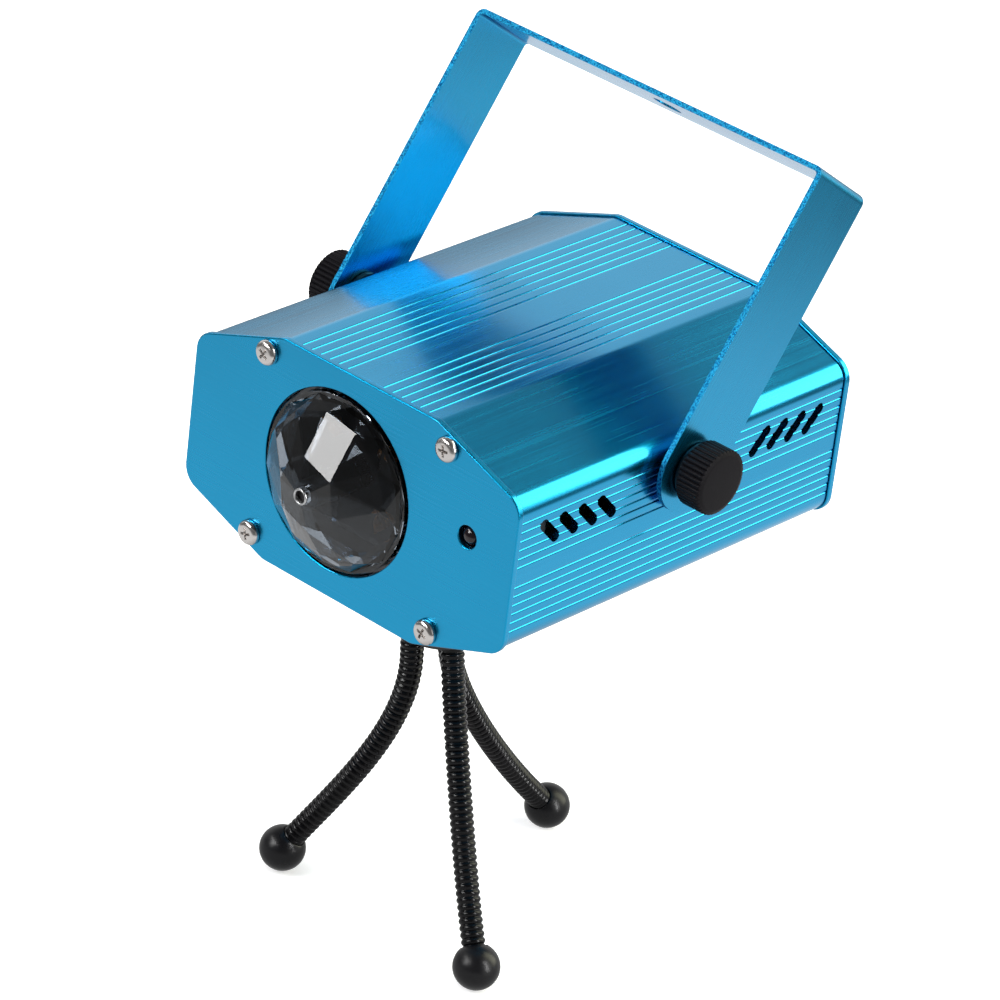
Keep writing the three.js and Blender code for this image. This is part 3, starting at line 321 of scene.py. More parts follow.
def flat_solid(name, outlines, thickness, edge=0.0, segments=1):
    """A flat curve with holes, thickened and with eased edges, lying in its own X and Y."""
    curve = bpy.data.curves.new(name, "CURVE")
    curve.dimensions = "2D"
    curve.fill_mode = "BOTH"
    curve.extrude = thickness / 2 - edge
    curve.bevel_depth = edge
    curve.bevel_resolution = segments
    curve.offset = -edge
    for outline in outlines:
        spline = curve.splines.new("POLY")
        spline.points.add(len(outline) - 1)
        for point, (x, y) in zip(spline.points, outline):
            point.co = (x, y, 0, 1)
        spline.use_cyclic_u = True
    return changed(evaluated(new_object(name, curve)), close_seams, face_outward)


def stand_up(obj, y):
    """Turns a flat solid so that its outline lies across Y, with its middle at that Y."""
    obj.data.transform(Matrix.Translation((0, y, 0)) @ Matrix.Rotation(math.pi / 2, 4, "X"))
    return obj


def bridge(bm, rings):
    """Faces from each ring of corners to the next. A ring can be a single corner on the axis."""
    for pair in zip(rings, rings[1:]):
        lower, upper = pair
        sides = max(map(len, pair))
        for i in range(sides):
            j = (i + 1) % sides
            corners = [ring[k % len(ring)] for ring, k in ((lower, i), (lower, j), (upper, j), (upper, i))]
            corners = list(dict.fromkeys(corners))
            if len(corners) > 2:
                bm.faces.new(corners)


def turned(name, profile, sides=96):
    """A profile of (radius, height) points turned round Z. It starts and ends on the axis or closes."""
    bm = bmesh.new()
    rings = []
    for radius, height in profile:
        if radius < 1e-6:
            rings.append([bm.verts.new((0, 0, height))])
        else:
            rings.append([bm.verts.new((x, y, height)) for x, y in circle(0, 0, radius, sides)])
    bridge(bm, rings)
    return from_bmesh(name, bm)


def rod(name, radius, bottom, top, sides):
    return turned(name, [(0, bottom), (radius, bottom), (radius, top), (0, top)], sides)


def arc(centre, radius, start, end, steps=6):
    """Points of a rounded edge in a profile, angles in degrees."""
    points = []
    for i in range(steps + 1):
        angle = math.radians(start + (end - start) * i / steps)
        points.append((centre[0] + radius * math.cos(angle), centre[1] + radius * math.sin(angle)))
    return points


def along_axis(obj, axis, x=0.0, y=0.0, z=0.0):
    """Turns a piece built round Z onto another axis and moves it."""
    turn = {
        "z": Matrix.Identity(4),
        "-y": Matrix.Rotation(math.pi / 2, 4, "X"),
        "y": Matrix.Rotation(-math.pi / 2, 4, "X"),
        "x": Matrix.Rotation(math.pi / 2, 4, "Y"),
        "-x": Matrix.Rotation(-math.pi / 2, 4, "Y"),
    }[axis]
    obj.data.transform(Matrix.Translation((x, y, z)) @ turn)
    return obj


def aimed(place, direction):
    """Turns Z onto a direction and moves to a place."""
    return Matrix.Translation(place) @ direction.to_track_quat("Z", "Y").to_matrix().to_4x4()


# Materials


class Tree:
    """A node tree with short calls to add and link its nodes."""

    def __init__(self, tree):
        self.tree = tree

    def add(self, kind, **settings):
        node = self.tree.nodes.new(kind)
        for key, value in settings.items():
            setattr(node, key, value)
        return node

    def link(self, source, target):
        self.tree.links.new(source, target)

    def put(self, value, socket):
        """Sets a socket to a number or a colour, or links it."""
        if isinstance(value, (int, float)):
            socket.default_value = value
        elif isinstance(value, tuple):
            socket.default_value = (*value, 1)
        elif value is not None:
            self.link(value, socket)

    def fill(self, node, **values):
        for name, value in values.items():
            self.put(value, node.inputs[name.replace("_", " ")])

    def math(self, operation, a, b=None):
        node = self.add("ShaderNodeMath", operation=operation)
        self.put(a, node.inputs[0])
        self.put(b, node.inputs[1])
        return node.outputs["Value"]


class PieceTree(Tree):
    """A geometry node tree with named inputs. It ends in Realize Instances and Set Material."""

    def __init__(self, name, **kinds):
        super().__init__(bpy.data.node_groups.new(name, "GeometryNodeTree"))
        socket = self.tree.interface.new_socket
        for label, kind in {**kinds, "Finish": "Material"}.items():
            socket(label.replace("_", " "), in_out="INPUT", socket_type="NodeSocket" + kind)
        socket("Piece", in_out="OUTPUT", socket_type="NodeSocketGeometry")
        self.start = self.add("NodeGroupInput").outputs

    def run(self, obj, geometry, **values):
        """Ends the tree, sets its inputs and turns its result on an object into a plain mesh."""
        real, paint = self.add("GeometryNodeRealizeInstances"), self.add("GeometryNodeSetMaterial")
        self.link(geometry, real.inputs["Geometry"])
        self.link(real.outputs["Geometry"], paint.inputs["Geometry"])
        self.link(self.start["Finish"], paint.inputs["Material"])
        self.link(paint.outputs["Geometry"], self.add("NodeGroupOutput").inputs["Piece"])
        modifier = obj.modifiers.new(obj.name, "NODES")
        modifier.node_group = self.tree
        for item in self.tree.interface.items_tree:
            value = values.get(item.name.replace(" ", "_"))
            if item.in_out == "INPUT" and value is not None:
                modifier[item.identifier] = value
        return evaluated(obj)


class Nodes(Tree):
    """The node tree of a new material or world."""

    def __init__(self, name, kind="materials"):
        self.block = getattr(bpy.data, kind).new(name)
        self.block.use_nodes = True
        super().__init__(self.block.node_tree)
        self.shader = self.tree.nodes.get("Principled BSDF")

    def coordinates(self, scale=(1, 1, 1), kind="Object"):
        mapping = self.add("ShaderNodeMapping")
        mapping.inputs["Scale"].default_value = scale
        self.link(self.add("ShaderNodeTexCoord").outputs[kind], mapping.inputs["Vector"])
        return mapping.outputs["Vector"]

    def noise(self, vector, scale, detail=3.0, roughness=0.5):
        node = self.add("ShaderNodeTexNoise")
        self.fill(node, Vector=vector, Scale=scale, Detail=detail, Roughness=roughness)
        return node.outputs["Fac"]

    def ranged(self, value, out_low, out_high, low=0.3, high=0.7, kind="LINEAR"):
        """Stretches values from low to high over another range. The middle of a noise if not told."""
        node = self.add("ShaderNodeMapRange", interpolation_type=kind)
        self.fill(node, Value=value, From_Min=low, From_Max=high, To_Min=out_low, To_Max=out_high)
        return node.outputs["Result"]

    def mix(self, share, a, b):
        node = self.add("ShaderNodeMix", data_type="RGBA")
        for index, value in ((0, share), (6, a), (7, b)):
            self.put(value, node.inputs[index])
        return node.outputs[2]

    def bump(self, height, strength, distance):
        node = self.add("ShaderNodeBump")
        self.fill(node, Height=height, Strength=strength, Distance=distance)
        return node.outputs["Normal"]

    def ramp(self, value, steps):
        """Levels of grey at positions from 0 to 1."""
        node = self.add("ShaderNodeValToRGB")
        elements = node.color_ramp.elements
        elements[1].position = 1.0
        for position, _ in steps[1:-1]:
            elements.new(position)
        for element, (_, level) in zip(elements, steps):
            element.color = (level, level, level, 1)
        self.link(value, node.inputs["Fac"])
        return node.outputs["Color"]

    def light(self, kind, colour=(1, 1, 1), strength=1.0):
        """An Emission or a Background shader."""
        node = self.add("ShaderNode" + kind)
        self.fill(node, Color=colour, Strength=strength)
        return node.outputs[0]

    def either(self, share, first, second):
        """One shader where share is 0 and the other where it is 1."""
        node = self.add("ShaderNodeMixShader")
        for value, socket in zip((share, first, second), node.inputs):
            self.link(value, socket)
        return node.outputs["Shader"]

    def rays(self):
        """Which rays are the camera's, and which are gloss or glass."""
        paths = self.add("ShaderNodeLightPath").outputs
        gloss = self.math("MAXIMUM", paths["Is Glossy Ray"], paths["Is Transmission Ray"])
        return paths["Is Camera Ray"], gloss

    def set(self, **values):
        self.fill(self.shader, **values)


BLUE = (0.002, 0.365, 0.67)
DEEP_BLUE = (0.001, 0.33, 0.62)


def brushed_blue(name, stretch, kind="Object", roughness=0.3, streak=0.12):
    """Blue anodised aluminium with a fine brushing. stretch is the pattern's scale along X, Y, Z."""
    n = Nodes(name)
    where = n.coordinates(stretch, kind)
    fine = n.noise(where, 1.0, 4.0, 0.65)
    broad = n.noise(n.coordinates(), 45.0, 2.0)
    colour = n.mix(n.ranged(fine, 0, 1), DEEP_BLUE, BLUE)
    n.set(Metallic=1.0, Base_Color=colour, Coat_Weight=0.45, Coat_Roughness=0.12, Coat_IOR=1.45)
    rough = n.math("ADD", n.ranged(fine, roughness - 0.05, roughness + 0.06), n.ranged(broad, -0.02, 0.03))
    n.set(Roughness=rough, Normal=n.bump(fine, streak, 0.00006))
    return n.block


def cut_edge():
    """Bare blue cut edge of the yoke strip, coarser than its faces."""
    n = Nodes("blue_cut_edge")
    grain = n.noise(n.coordinates(), 2600.0, 3.0)
    colour = n.mix(n.ranged(grain, 0, 1, 0.42, 0.58), (0.001, 0.06, 0.17), (0.02, 0.3, 0.52))
    n.set(Metallic=1.0, Base_Color=colour, Roughness=n.ranged(grain, 0.4, 0.6),
          Normal=n.bump(grain, 0.9, 0.00012))
    return n.block


def plastic(name, colour, roughness, grain=1800.0, strength=0.12, gloss=0.5):
    n = Nodes(name)
    where = n.coordinates()
    texture = n.noise(where, grain, 2.0)
    patches = n.noise(where, 140.0, 3.0)
    dark = tuple(c * 0.75 for c in colour)
    n.set(Base_Color=n.mix(patches, dark, colour), Specular_IOR_Level=gloss,
          Roughness=n.ranged(patches, roughness - 0.05, roughness + 0.07),
          Normal=n.bump(texture, strength, 0.00005))
    return n.block


def metal(name, colour, roughness):
    n = Nodes(name)
    texture = n.noise(n.coordinates((900, 900, 900)), 1.0, 3.0)
    dark = tuple(c * 0.8 for c in colour)
    n.set(Metallic=1.0, Base_Color=n.mix(texture, dark, colour),
          Roughness=n.ranged(texture, roughness - 0.06, roughness + 0.08),
          Normal=n.bump(texture, 0.08, 0.00004))
    return n.block


def clear_acrylic():
    n = Nodes("clear_acrylic")
    haze = n.noise(n.coordinates(), 260.0, 3.0)
    # The grey-blue tint of the base colour is painted shade: it darkens the dome and what is seen inside it.
    n.set(Base_Color=(0.32, 0.37, 0.43), Transmission_Weight=1.0, IOR=1.49,
          Roughness=n.ranged(haze, 0.0, 0.02, 0.35, 0.75))
    return n.block


def circuit_board(name, colour, trace):
    n = Nodes(name)
    where = n.coordinates()
    cells = n.add("ShaderNodeTexBrick")
    n.fill(cells, Vector=where, Scale=160, Mortar_Size=0.03)
    lines = cells.outputs["Fac"]
    n.set(Base_Color=n.mix(lines, colour, trace), Normal=n.bump(lines, 0.2, 0.00003),
          Roughness=n.ranged(n.noise(where, 700.0, 2.0), 0.3, 0.45))
    return n.block


MATERIALS = {
    "housing": brushed_blue("blue_housing", (1400, 14, 1400), roughness=0.23, streak=0.02),
    "plate": brushed_blue("blue_plate", (16, 1400, 1500), roughness=0.29, streak=0.04),
    "yoke": brushed_blue("blue_yoke", (18, 1500, 1), kind="UV", roughness=0.27, streak=0.05),
    "edge": cut_edge(),
    "knob": plastic("black_knob", (0.0065, 0.006, 0.0075), 0.46, strength=0.35, gloss=0.06),
    "black": plastic("black_plastic", (0.012, 0.012, 0.013), 0.42),
    "foot": plastic("black_foot", (0.0045, 0.0045, 0.0055), 0.3, strength=0.05, gloss=0.28),
    "hose": plastic("black_hose", (0.002, 0.002, 0.0025), 0.2, grain=900.0, strength=0.06, gloss=0.22),
    "rubber": plastic("black_rubber", (0.015, 0.015, 0.015), 0.7, strength=0.25),
    "nickel": metal("nickel_screw", (0.72, 0.69, 0.67), 0.2),
    "zinc": metal("zinc_steel", (0.6, 0.61, 0.62), 0.28),
    "dark_zinc": metal("dark_zinc_steel", (0.05, 0.055, 0.06), 0.45),
    "brass": metal("turned_brass", (0.62, 0.45, 0.2), 0.3),
    "aluminium": metal("bare_aluminium", (0.42, 0.43, 0.44), 0.38),
    "lens": clear_acrylic(),
    "green": circuit_board("green_board", (0.01, 0.12, 0.05), (0.03, 0.2, 0.09)),
    # The near black of the lamp board is painted shade for the inside of the housing.
    "lamp_board": plastic("dark_lamp_board", (0.004, 0.004, 0.005), 0.6, grain=700.0, gloss=0.2),
    "emitter": plastic("amber_emitter", (0.3, 0.1, 0.012), 0.3, strength=0.05, gloss=0.3),
    "window": plastic("dark_window", (0.006, 0.003, 0.005), 0.08, strength=0.0),
}


# Housing


def section_corners(outward=0.0):
    """Corners of the eight-sided section, anticlockwise, moved outward by a distance."""
    x, z = HOUSING_WIDTH / 2, HOUSING_HEIGHT / 2
    tx, sz = TOP_FLAT / 2, SIDE_FLAT / 2
    corners = [(x, -sz), (x, sz), (tx, z), (-tx, z), (-x, sz), (-x, -sz), (-tx, -z), (tx, -z)]
    corners = [Vector(corner) for corner in corners]
    moved = []
    for i, corner in enumerate(corners):
        before = (corner - corners[i - 1]).normalized()
        after = (corners[(i + 1) % 8] - corner).normalized()
        normal = Vector((before.y + after.y, -before.x - after.x))
        moved.append(corner + normal * (outward / (1 + before.dot(after))))
    return moved


def section_outline(corners, radius, grooves=None, steps=9):
    """Rounded outline with grooves in the flat after corner i, as in the extrusion's section."""
    outline = []
    for i, corner in enumerate(corners):
        following = corners[(i + 1) % 8]
        before = (corner - corners[i - 1]).normalized()
        after = (following - corner).normalized()
        turn = math.acos(max(-1, min(1, before.dot(after))))
        centre = corner - before * radius * math.tan(turn / 2) + Vector((-before.y, before.x)) * radius
        start = math.atan2(-before.x, before.y)
        count = max(3, round(steps * turn / 0.6))
        for k in range(count + 1):
            angle = start + turn * k / count
            outline.append(centre + radius * Vector((math.cos(angle), math.sin(angle))))
        inward = Vector((-after.y, after.x))
        for place in (grooves or {}).get(i, ()):
            half, floor = GROOVE_WIDTH / 2, GROOVE_FLOOR / 2
            for offset, depth in (
                (-half - GROOVE_LIP, 0), (-half, 0.04), (-floor, GROOVE_DEPTH),
                (floor, GROOVE_DEPTH), (half, 0.04), (half + GROOVE_LIP, 0),
            ):
                outline.append((corner + following) / 2 + after * (place + offset) + inward * depth)
    return outline


def both_ways(places):
    return [-p for p in reversed(places)] + list(places)


def make_vent_cutter():
    """One leaning slot, rounded at both ends, right through one side wall."""
    radius = VENT_WIDTH / 2
    reach = VENT_LENGTH / 2 - radius
    outline = arc((reach, 0), radius, -90, 90, 8) + arc((-reach, 0), radius, 90, 270, 8)
    return flat_solid("vent_cutter", [outline], 3 * WALL)


def place_copies(name, shape, places, finish):
    """Copies of a shape on points, each with its own turn, by a geometry node tree."""
    points = bpy.data.meshes.new(name)
    points.from_pydata([p for p, _ in places], [], [])
    turns = points.attributes.new("turn", "FLOAT_VECTOR", "POINT")
    for item, (_, turn) in zip(turns.data, places):
        item.vector = turn
    tree = PieceTree(name, Points="Geometry", Shape="Object", Size="Float")
    info, copy = tree.add("GeometryNodeObjectInfo"), tree.add("GeometryNodeInstanceOnPoints")
    turn = tree.add("GeometryNodeInputNamedAttribute", data_type="FLOAT_VECTOR")
    turn.inputs["Name"].default_value = "turn"
    tree.link(tree.start["Shape"], info.inputs["Object"])
    tree.link(tree.start["Points"], copy.inputs["Points"])
    tree.link(info.outputs["Geometry"], copy.inputs["Instance"])
    tree.link(turn.outputs["Attribute"], copy.inputs["Rotation"])
    tree.link(tree.start["Size"], copy.inputs["Scale"])
    obj = new_object(name, points)
    result = tree.run(obj, copy.outputs["Instances"], Shape=shape, Size=1.0, Finish=MATERIALS[finish])
    bpy.data.objects.remove(shape)
    return result


def make_housing():
    side, top = both_ways(SIDE_GROOVES), both_ways(TOP_GROOVES)
    outer = section_outline(section_corners(), CORNER_RADIUS, {0: side, 2: top, 4: side, 6: top})
    inner = section_outline(section_corners(-WALL), CORNER_RADIUS - WALL, steps=5)
    housing = stand_up(flat_solid("housing", [outer, inner], HOUSING_LENGTH), 0)
    places = []
    for x in (-HOUSING_WIDTH / 2, HOUSING_WIDTH / 2):
        for end in (-1, 1):
            for place in VENTS:
                turn = (math.pi / 2, math.radians(-45 * end), math.pi / 2)
                places.append(((x, end * place, VENT_HEIGHT), turn))
    cutters = place_copies("vent_cutters", make_vent_cutter(), places, "housing")
    housing = joined_with(housing, cutters)
    finish_piece(housing, "housing", "housing", ["housing_extrusion"], degrees=12)


def make_plate(side, node, holes):
    outline = section_outline(section_corners(PLATE_OVERHANG), CORNER_RADIUS + PLATE_OVERHANG, steps=12)
    plate = flat_solid(node + "_face", [outline, *holes], PLATE_THICKNESS, PLATE_EDGE, 4)
    stand_up(plate, side * (REAR_FACE - PLATE_THICKNESS / 2))
    finish_piece(plate, "plate", "housing", [node], degrees=8)


def make_front_plate():
    make_plate(-1, "front_plate", [
        circle(LENS_X, LENS_Z, LENS_OPENING, 128), circle(RECEIVER_X, RECEIVER_Z, RECEIVER_HOLE, 48),
    ])


def rear_places():
    """Middles of the power socket and the mode button on the rear plate."""
    inlet = middle_of("power_inlet") - MIDDLE
    button = middle_of("mode_button") - MIDDLE
    return (inlet.x, inlet.z), (button.x, button.z)


def grille_slot(inner, quarter, steps=14):
    """Opening between two spokes of the fan grille, with round corners."""
    outer, corner = inner + GRILLE_SLOT, 0.5
    outline = []
    for radius, forward, inset in ((outer, True, -corner), (inner, False, corner)):
        spoke = math.asin(GRILLE_SPOKE / 2 / radius)
        ease = corner / radius
        start, end = quarter * math.pi / 2 + spoke, (quarter + 1) * math.pi / 2 - spoke
        row = [(start, radius + inset)]
        row += [(start + ease + (end - start - 2 * ease) * k / steps, radius) for k in range(steps + 1)]
        row += [(end, radius + inset)]
        outline += row if forward else row[::-1]
    return [(FAN_X - r * math.cos(a), r * math.sin(a)) for a, r in outline]


def make_rear_plate():
    (inlet_x, inlet_z), (button_x, button_z) = rear_places()
    holes = [circle(inlet_x, inlet_z, INLET_RADIUS + 0.4, 64),
             circle(button_x, button_z, BUTTON_RADIUS + 0.3, 48)]
    for ring in range(GRILLE_RINGS):
        holes += [grille_slot(GRILLE_FIRST + ring * GRILLE_PITCH, quarter) for quarter in range(4)]
    make_plate(1, "rear_plate", holes)


def pan_head(head_radius, head_height):
    """Pan head with a cross recess, standing on Z = 0, and the start of its shank."""
    edge, shank = 0.25 * head_height, 1.35
    profile = [(0, -1.2), (shank, -1.2), (shank, 0), (head_radius - 0.12, 0), (head_radius, 0.12),
               (head_radius, edge)]
    for k in range(1, 9):
        angle = math.radians(90 * k / 8)
        profile.append((head_radius - (1 - math.cos(angle)) * head_radius * 0.42,
                        edge + math.sin(angle) * (head_height - edge - 0.06)))
    profile += [(head_radius * 0.3, head_height - 0.01), (0, head_height)]
    head = turned("pan_head", profile, 64)
    arm, half = 1.65, 0.36
    cross = [(arm, -half), (arm, half), (half, half), (half, arm), (-half, arm), (-half, half),
             (-arm, half), (-arm, -half), (-half, -half), (-half, -arm), (half, -arm), (half, -half)]
    cutter = flat_solid("recess", [cross], 2.0)
    for vertex in cutter.data.vertices:
        if vertex.co.z < 0:
            vertex.co.x *= 0.62
            vertex.co.y *= 0.62
    cutter.data.transform(Matrix.Translation((0, 0, head_height)))
    return bevelled(joined_with(head, cutter), 0.07, 2, 40)


def make_screws(name, node, side, spacing, turns, size, middle=0):
    """Four pan heads at the corners of a plate or of the fan, each with its own turn."""
    places = []
    for (x, z), turn in zip(((-1, -1), (1, -1), (1, 1), (-1, 1)), turns):
        spin = Matrix.Rotation(-side * math.pi / 2, 3, "X") @ Matrix.Rotation(math.radians(turn), 3, "Z")
        place = (middle + x * spacing[0], side * (REAR_FACE + 0.1), z * spacing[1])
        places.append((place, tuple(spin.to_euler())))
    screws = place_copies(name, pan_head(*size), places, "nickel")
    finish_piece(screws, None, "housing", [f"{node}_{i}" for i in range(1, 5)])


def make_fan_rotor():
    """Hub with swept blades. Each blade is copied round the hub by the same tree as the screws."""
    low, high = box_of("fan_rotor")
    front, rear = low.y - MIDDLE.y + 2.1, high.y - MIDDLE.y
    depth = rear - front
    r = HUB_RADIUS
    hub = turned("bladed_rotor", [(0, 0), (r, 0), (r, depth - 0.8), (r - 0.6, depth - 0.2),
                                  (r - 1.3, depth), (0, depth)], 72)
    bm = bmesh.new()
    steps = 8
    sheets = []
    for side in (-0.4, 0.4):
        grid = []
        for i in range(steps + 1):
            radius = BLADE_ROOT + (BLADE_TIP - BLADE_ROOT) * i / steps
            line = []
            for k in range(steps + 1):
                share = k / steps
                height = 0.3 + (depth - 0.6) * share
                swept = math.radians(-26 + 44 * share ** 1.25 + 9 * i / steps) + side / radius
                line.append(bm.verts.new((radius * math.cos(swept), radius * math.sin(swept), height)))
            grid.append(line)
        sheets.append(grid)
    lower, upper = sheets
    for i in range(steps):
        for k in range(steps):
            bm.faces.new((lower[i][k], lower[i + 1][k], lower[i + 1][k + 1], lower[i][k + 1]))
            bm.faces.new((upper[i][k], upper[i][k + 1], upper[i + 1][k + 1], upper[i + 1][k]))
        for k in (0, steps):
            bm.faces.new((lower[i][k], upper[i][k], upper[i + 1][k], lower[i + 1][k]))
            bm.faces.new((lower[k][i], lower[k][i + 1], upper[k][i + 1], upper[k][i]))
    turns = [((0, 0, 0), (0, 0, 2 * math.pi * i / FAN_BLADES)) for i in range(FAN_BLADES)]
    blades = place_copies("rotor_blades", from_bmesh("rotor_blade", bm), turns, "black")
    rotor = joined_with(hub, blades, "UNION")
    along_axis(rotor, "y", FAN_X, front, 0)
    finish_piece(rotor, "black", "fan", ["fan_rotor"])


def make_rear_fittings():
    (inlet_x, inlet_z), (button_x, button_z) = rear_places()
    r, bore, back, pin = INLET_RADIUS, INLET_BORE, -9.6, 0.62
    profile = [(0, back + 0.6), (pin, back + 0.6), (pin, -1.35), (0.45, -1.05), (0, -0.95)]
    middle_pin = turned("middle_pin", profile, 48)
    barrel = turned("power_socket", [(0, back), (r, back), (r, -0.25), (r - 0.25, 0), (bore + 0.35, 0),
                                     (bore, -0.35), (bore, back + 1), (0, back + 1)], 72)
    socket = joined_with(barrel, middle_pin, "UNION")
    width, height, depth = INLET_BODY
    body = flat_solid("socket_body", [rectangle(width, height)], depth, 0.3, 2)
    body.data.transform(Matrix.Translation((0, 0, -2.05 - depth / 2)))
    cutter = turned("socket_space", [(0, back - 0.05), (r + 0.05, back - 0.05), (r + 0.05, 0), (0, 0)], 72)
    body = joined_with(body, cutter)
    for piece in (socket, body):
        along_axis(piece, "y", inlet_x, REAR_FACE, inlet_z)
        finish_piece(piece, "black", "housing", ["power_inlet"])
    r, flange, stem, edge = BUTTON_RADIUS, BUTTON_FLANGE, 1.3, 0.45
    profile = [(0, -8), (stem, -8), (stem, -3.2), (flange, -3.2), (flange, -1.8), (r, -1.8)]
    profile += arc((r - edge, 1 - edge), edge, 0, 90, 3) + [(1.6, 0.93), (0.8, 0.8), (0, 0.76)]
    button = turned("mode_push_button", profile, 64)
    along_axis(button, "y", button_x, REAR_FACE, button_z)
    finish_piece(button, "black", "button", ["mode_button"])


# Yoke


def make_yoke():
    """One bent strip: its outline in the front view crossed with its outline in the side view."""
    inner, outer = YOKE_INNER / 2, YOKE_INNER / 2 + YOKE_THICKNESS
    middle = outer - YOKE_BEND, YOKE_REACH - YOKE_BEND
    outside = [(outer, -12)] + arc(middle, YOKE_BEND, 0, 90, 12)
    inside = [(inner, -12)] + arc(middle, YOKE_BEND - YOKE_THICKNESS, 0, 90, 12)
    outline = outside + [(-x, z) for x, z in reversed(outside)]
    outline += [(-x, z) for x, z in inside] + list(reversed(inside))
    band = stand_up(flat_solid("yoke_strip", [outline], YOKE_WIDTH), 0)
    half = YOKE_WIDTH / 2
    side = [(half, YOKE_REACH + 2), (-half, YOKE_REACH + 2)] + arc((0, 0), half, 180, 360, 48)
    blank = flat_solid("yoke_side", [side], 2 * outer + 4)
    blank.data.transform(Matrix(((0, 0, 1, 0), (1, 0, 0, 0), (0, 1, 0, 0), (0, 0, 0, 1))))
    yoke = joined_with(band, blank, "INTERSECT")
    pivot = along_axis(rod("pivot_hole", PIVOT_HOLE, -60, 60, 64), "x")
    yoke = joined_with(yoke, pivot)
    yoke = joined_with(yoke, rod("bar_hole", BAR_HOLE, YOKE_REACH - 4, YOKE_REACH + 4, 72))
    yoke = bevelled(yoke, 0.14, 2, 50)
    mesh = yoke.data
    mesh.materials.clear()
    mesh.materials.append(MATERIALS["yoke"])
    mesh.materials.append(MATERIALS["edge"])
    uv = mesh.uv_layers.new(name="along_strip")
    for face in mesh.polygons:
        place = face.center
        rim = abs(face.normal.y) > 0.5 or math.hypot(place.y, place.z) > half - 0.3 and place.z < 0
        face.material_index = 1 if rim else 0
        for loop in face.loop_indices:
            x, y, z = mesh.vertices[mesh.loops[loop].vertex_index].co
            along = math.copysign(abs(x) + YOKE_REACH - z, x)
            uv.data[loop].uv = (along * MM, y * MM)
    mesh.transform(Matrix.Translation(PIVOT) @ Matrix.Rotation(-YOKE_TILT, 4, "X"))
    finish_piece(yoke, None, "yoke", ["yoke_bracket"], degrees=14)


def make_knob(side, label):
    """Knurled knob: rings of ridged outlines, drawn in where the chamfer cuts them."""
    count, radius, length, edge = KNURLS * 10, KNOB_RADIUS, KNOB_LENGTH, 0.45
    levels = [(0, radius - 0.5), (0.3, radius - 0.15), (0.5, radius), (length - 0.75, radius)]
    for degrees in (20, 40, 60, 80):
        angle = math.radians(degrees)
        levels.append((length - 0.75 + edge * math.sin(angle),
                       radius - edge + edge * math.cos(angle) - 0.12 * degrees / 90))
    levels += [(length - 0.12, radius - 0.9), (length - 0.03, radius - 1.15), (length, radius - 1.45)]
    bm = bmesh.new()
    rings = []
    for height, limit in levels:
        ring = []
        for i in range(count):
            angle = 2 * math.pi * i / count
            ridge = radius - KNURL_DEPTH * (1 - abs(math.cos(KNURLS * angle / 2)) ** 0.7)
            out = min(ridge, limit)
            ring.append(bm.verts.new((out * math.cos(angle), out * math.sin(angle), height)))
        rings.append(ring)
    bore = circle(0, 0, KNOB_BORE, count)
    rings = [[bm.verts.new((x, y, height)) for x, y in bore] for height in (4.8, 0)] + rings
    bridge(bm, rings)
    for ring in (rings[0], rings[-1]):
        bm.faces.new(ring)
    knob = from_bmesh("knurled_knob_" + label, bm)
    axis = "x" if side > 0 else "-x"
    along_axis(knob, axis, side * KNOB_START, PIVOT.y, PIVOT.z)
    finish_piece(knob, "knob", f"{label}_knob", [f"clamp_knob_{label}"], degrees=40)
    hole, rim, thick = KNOB_BORE, 6, 0.9
    profile = [(hole, 0), (rim, 0), (rim, thick), (hole, thick), (hole, 0)]
    washer = turned("plain_washer_" + label, profile, 72)
    washer = bevelled(washer, 0.15, 2, 40)
    along_axis(washer, axis, side * WASHER_START, PIVOT.y, PIVOT.z)
    finish_piece(washer, "dark_zinc", label + "_washer", ["clamp_washer_" + label])


# Stand with three flexible legs


def leg_points(leg):
    """Centre line of a leg in its upright plane: distance out and height, from its pivot to its foot."""
    leave, arrive = math.radians(leg["leave"]), math.radians(leg["arrive"])
    leaving = Vector((math.sin(leave), -math.cos(leave)))
    arriving = Vector((math.sin(arrive), -math.cos(arrive)))
    foot = Vector((leg["reach"], -LEG_DROP))
    straight = 2 * HOSE_RADIUS
    ends = (leaving * straight, leaving * leg["pull"],
            foot - arriving * leg["end_pull"], foot - arriving * straight)
    points = [leaving * -2.5, Vector((0, 0))]
    for k in range(201):
        t = k / 200
        weights = ((1 - t) ** 3, 3 * t * (1 - t) ** 2, 3 * t * t * (1 - t), t ** 3)
        points.append(sum((w * p for w, p in zip(weights, ends)), Vector((0, 0))))
    points.append(foot)
    return points, leaving, arriving


def cut_line(points, start, end):
    """The part of a line of points between two distances along it, measured from the pivot."""
    distance, kept = -(points[1] - points[0]).length, []
    for a, b in zip(points, points[1:]):
        step = (b - a).length
        for target in (start, end):
            if distance <= target < distance + step:
                kept.append(a.lerp(b, (target - distance) / step))
        if start < distance + step < end:
            kept.append(b)
        distance += step
    return sorted(set((round(p.x, 6), round(p.y, 6)) for p in kept), key=lambda p: -p[1])


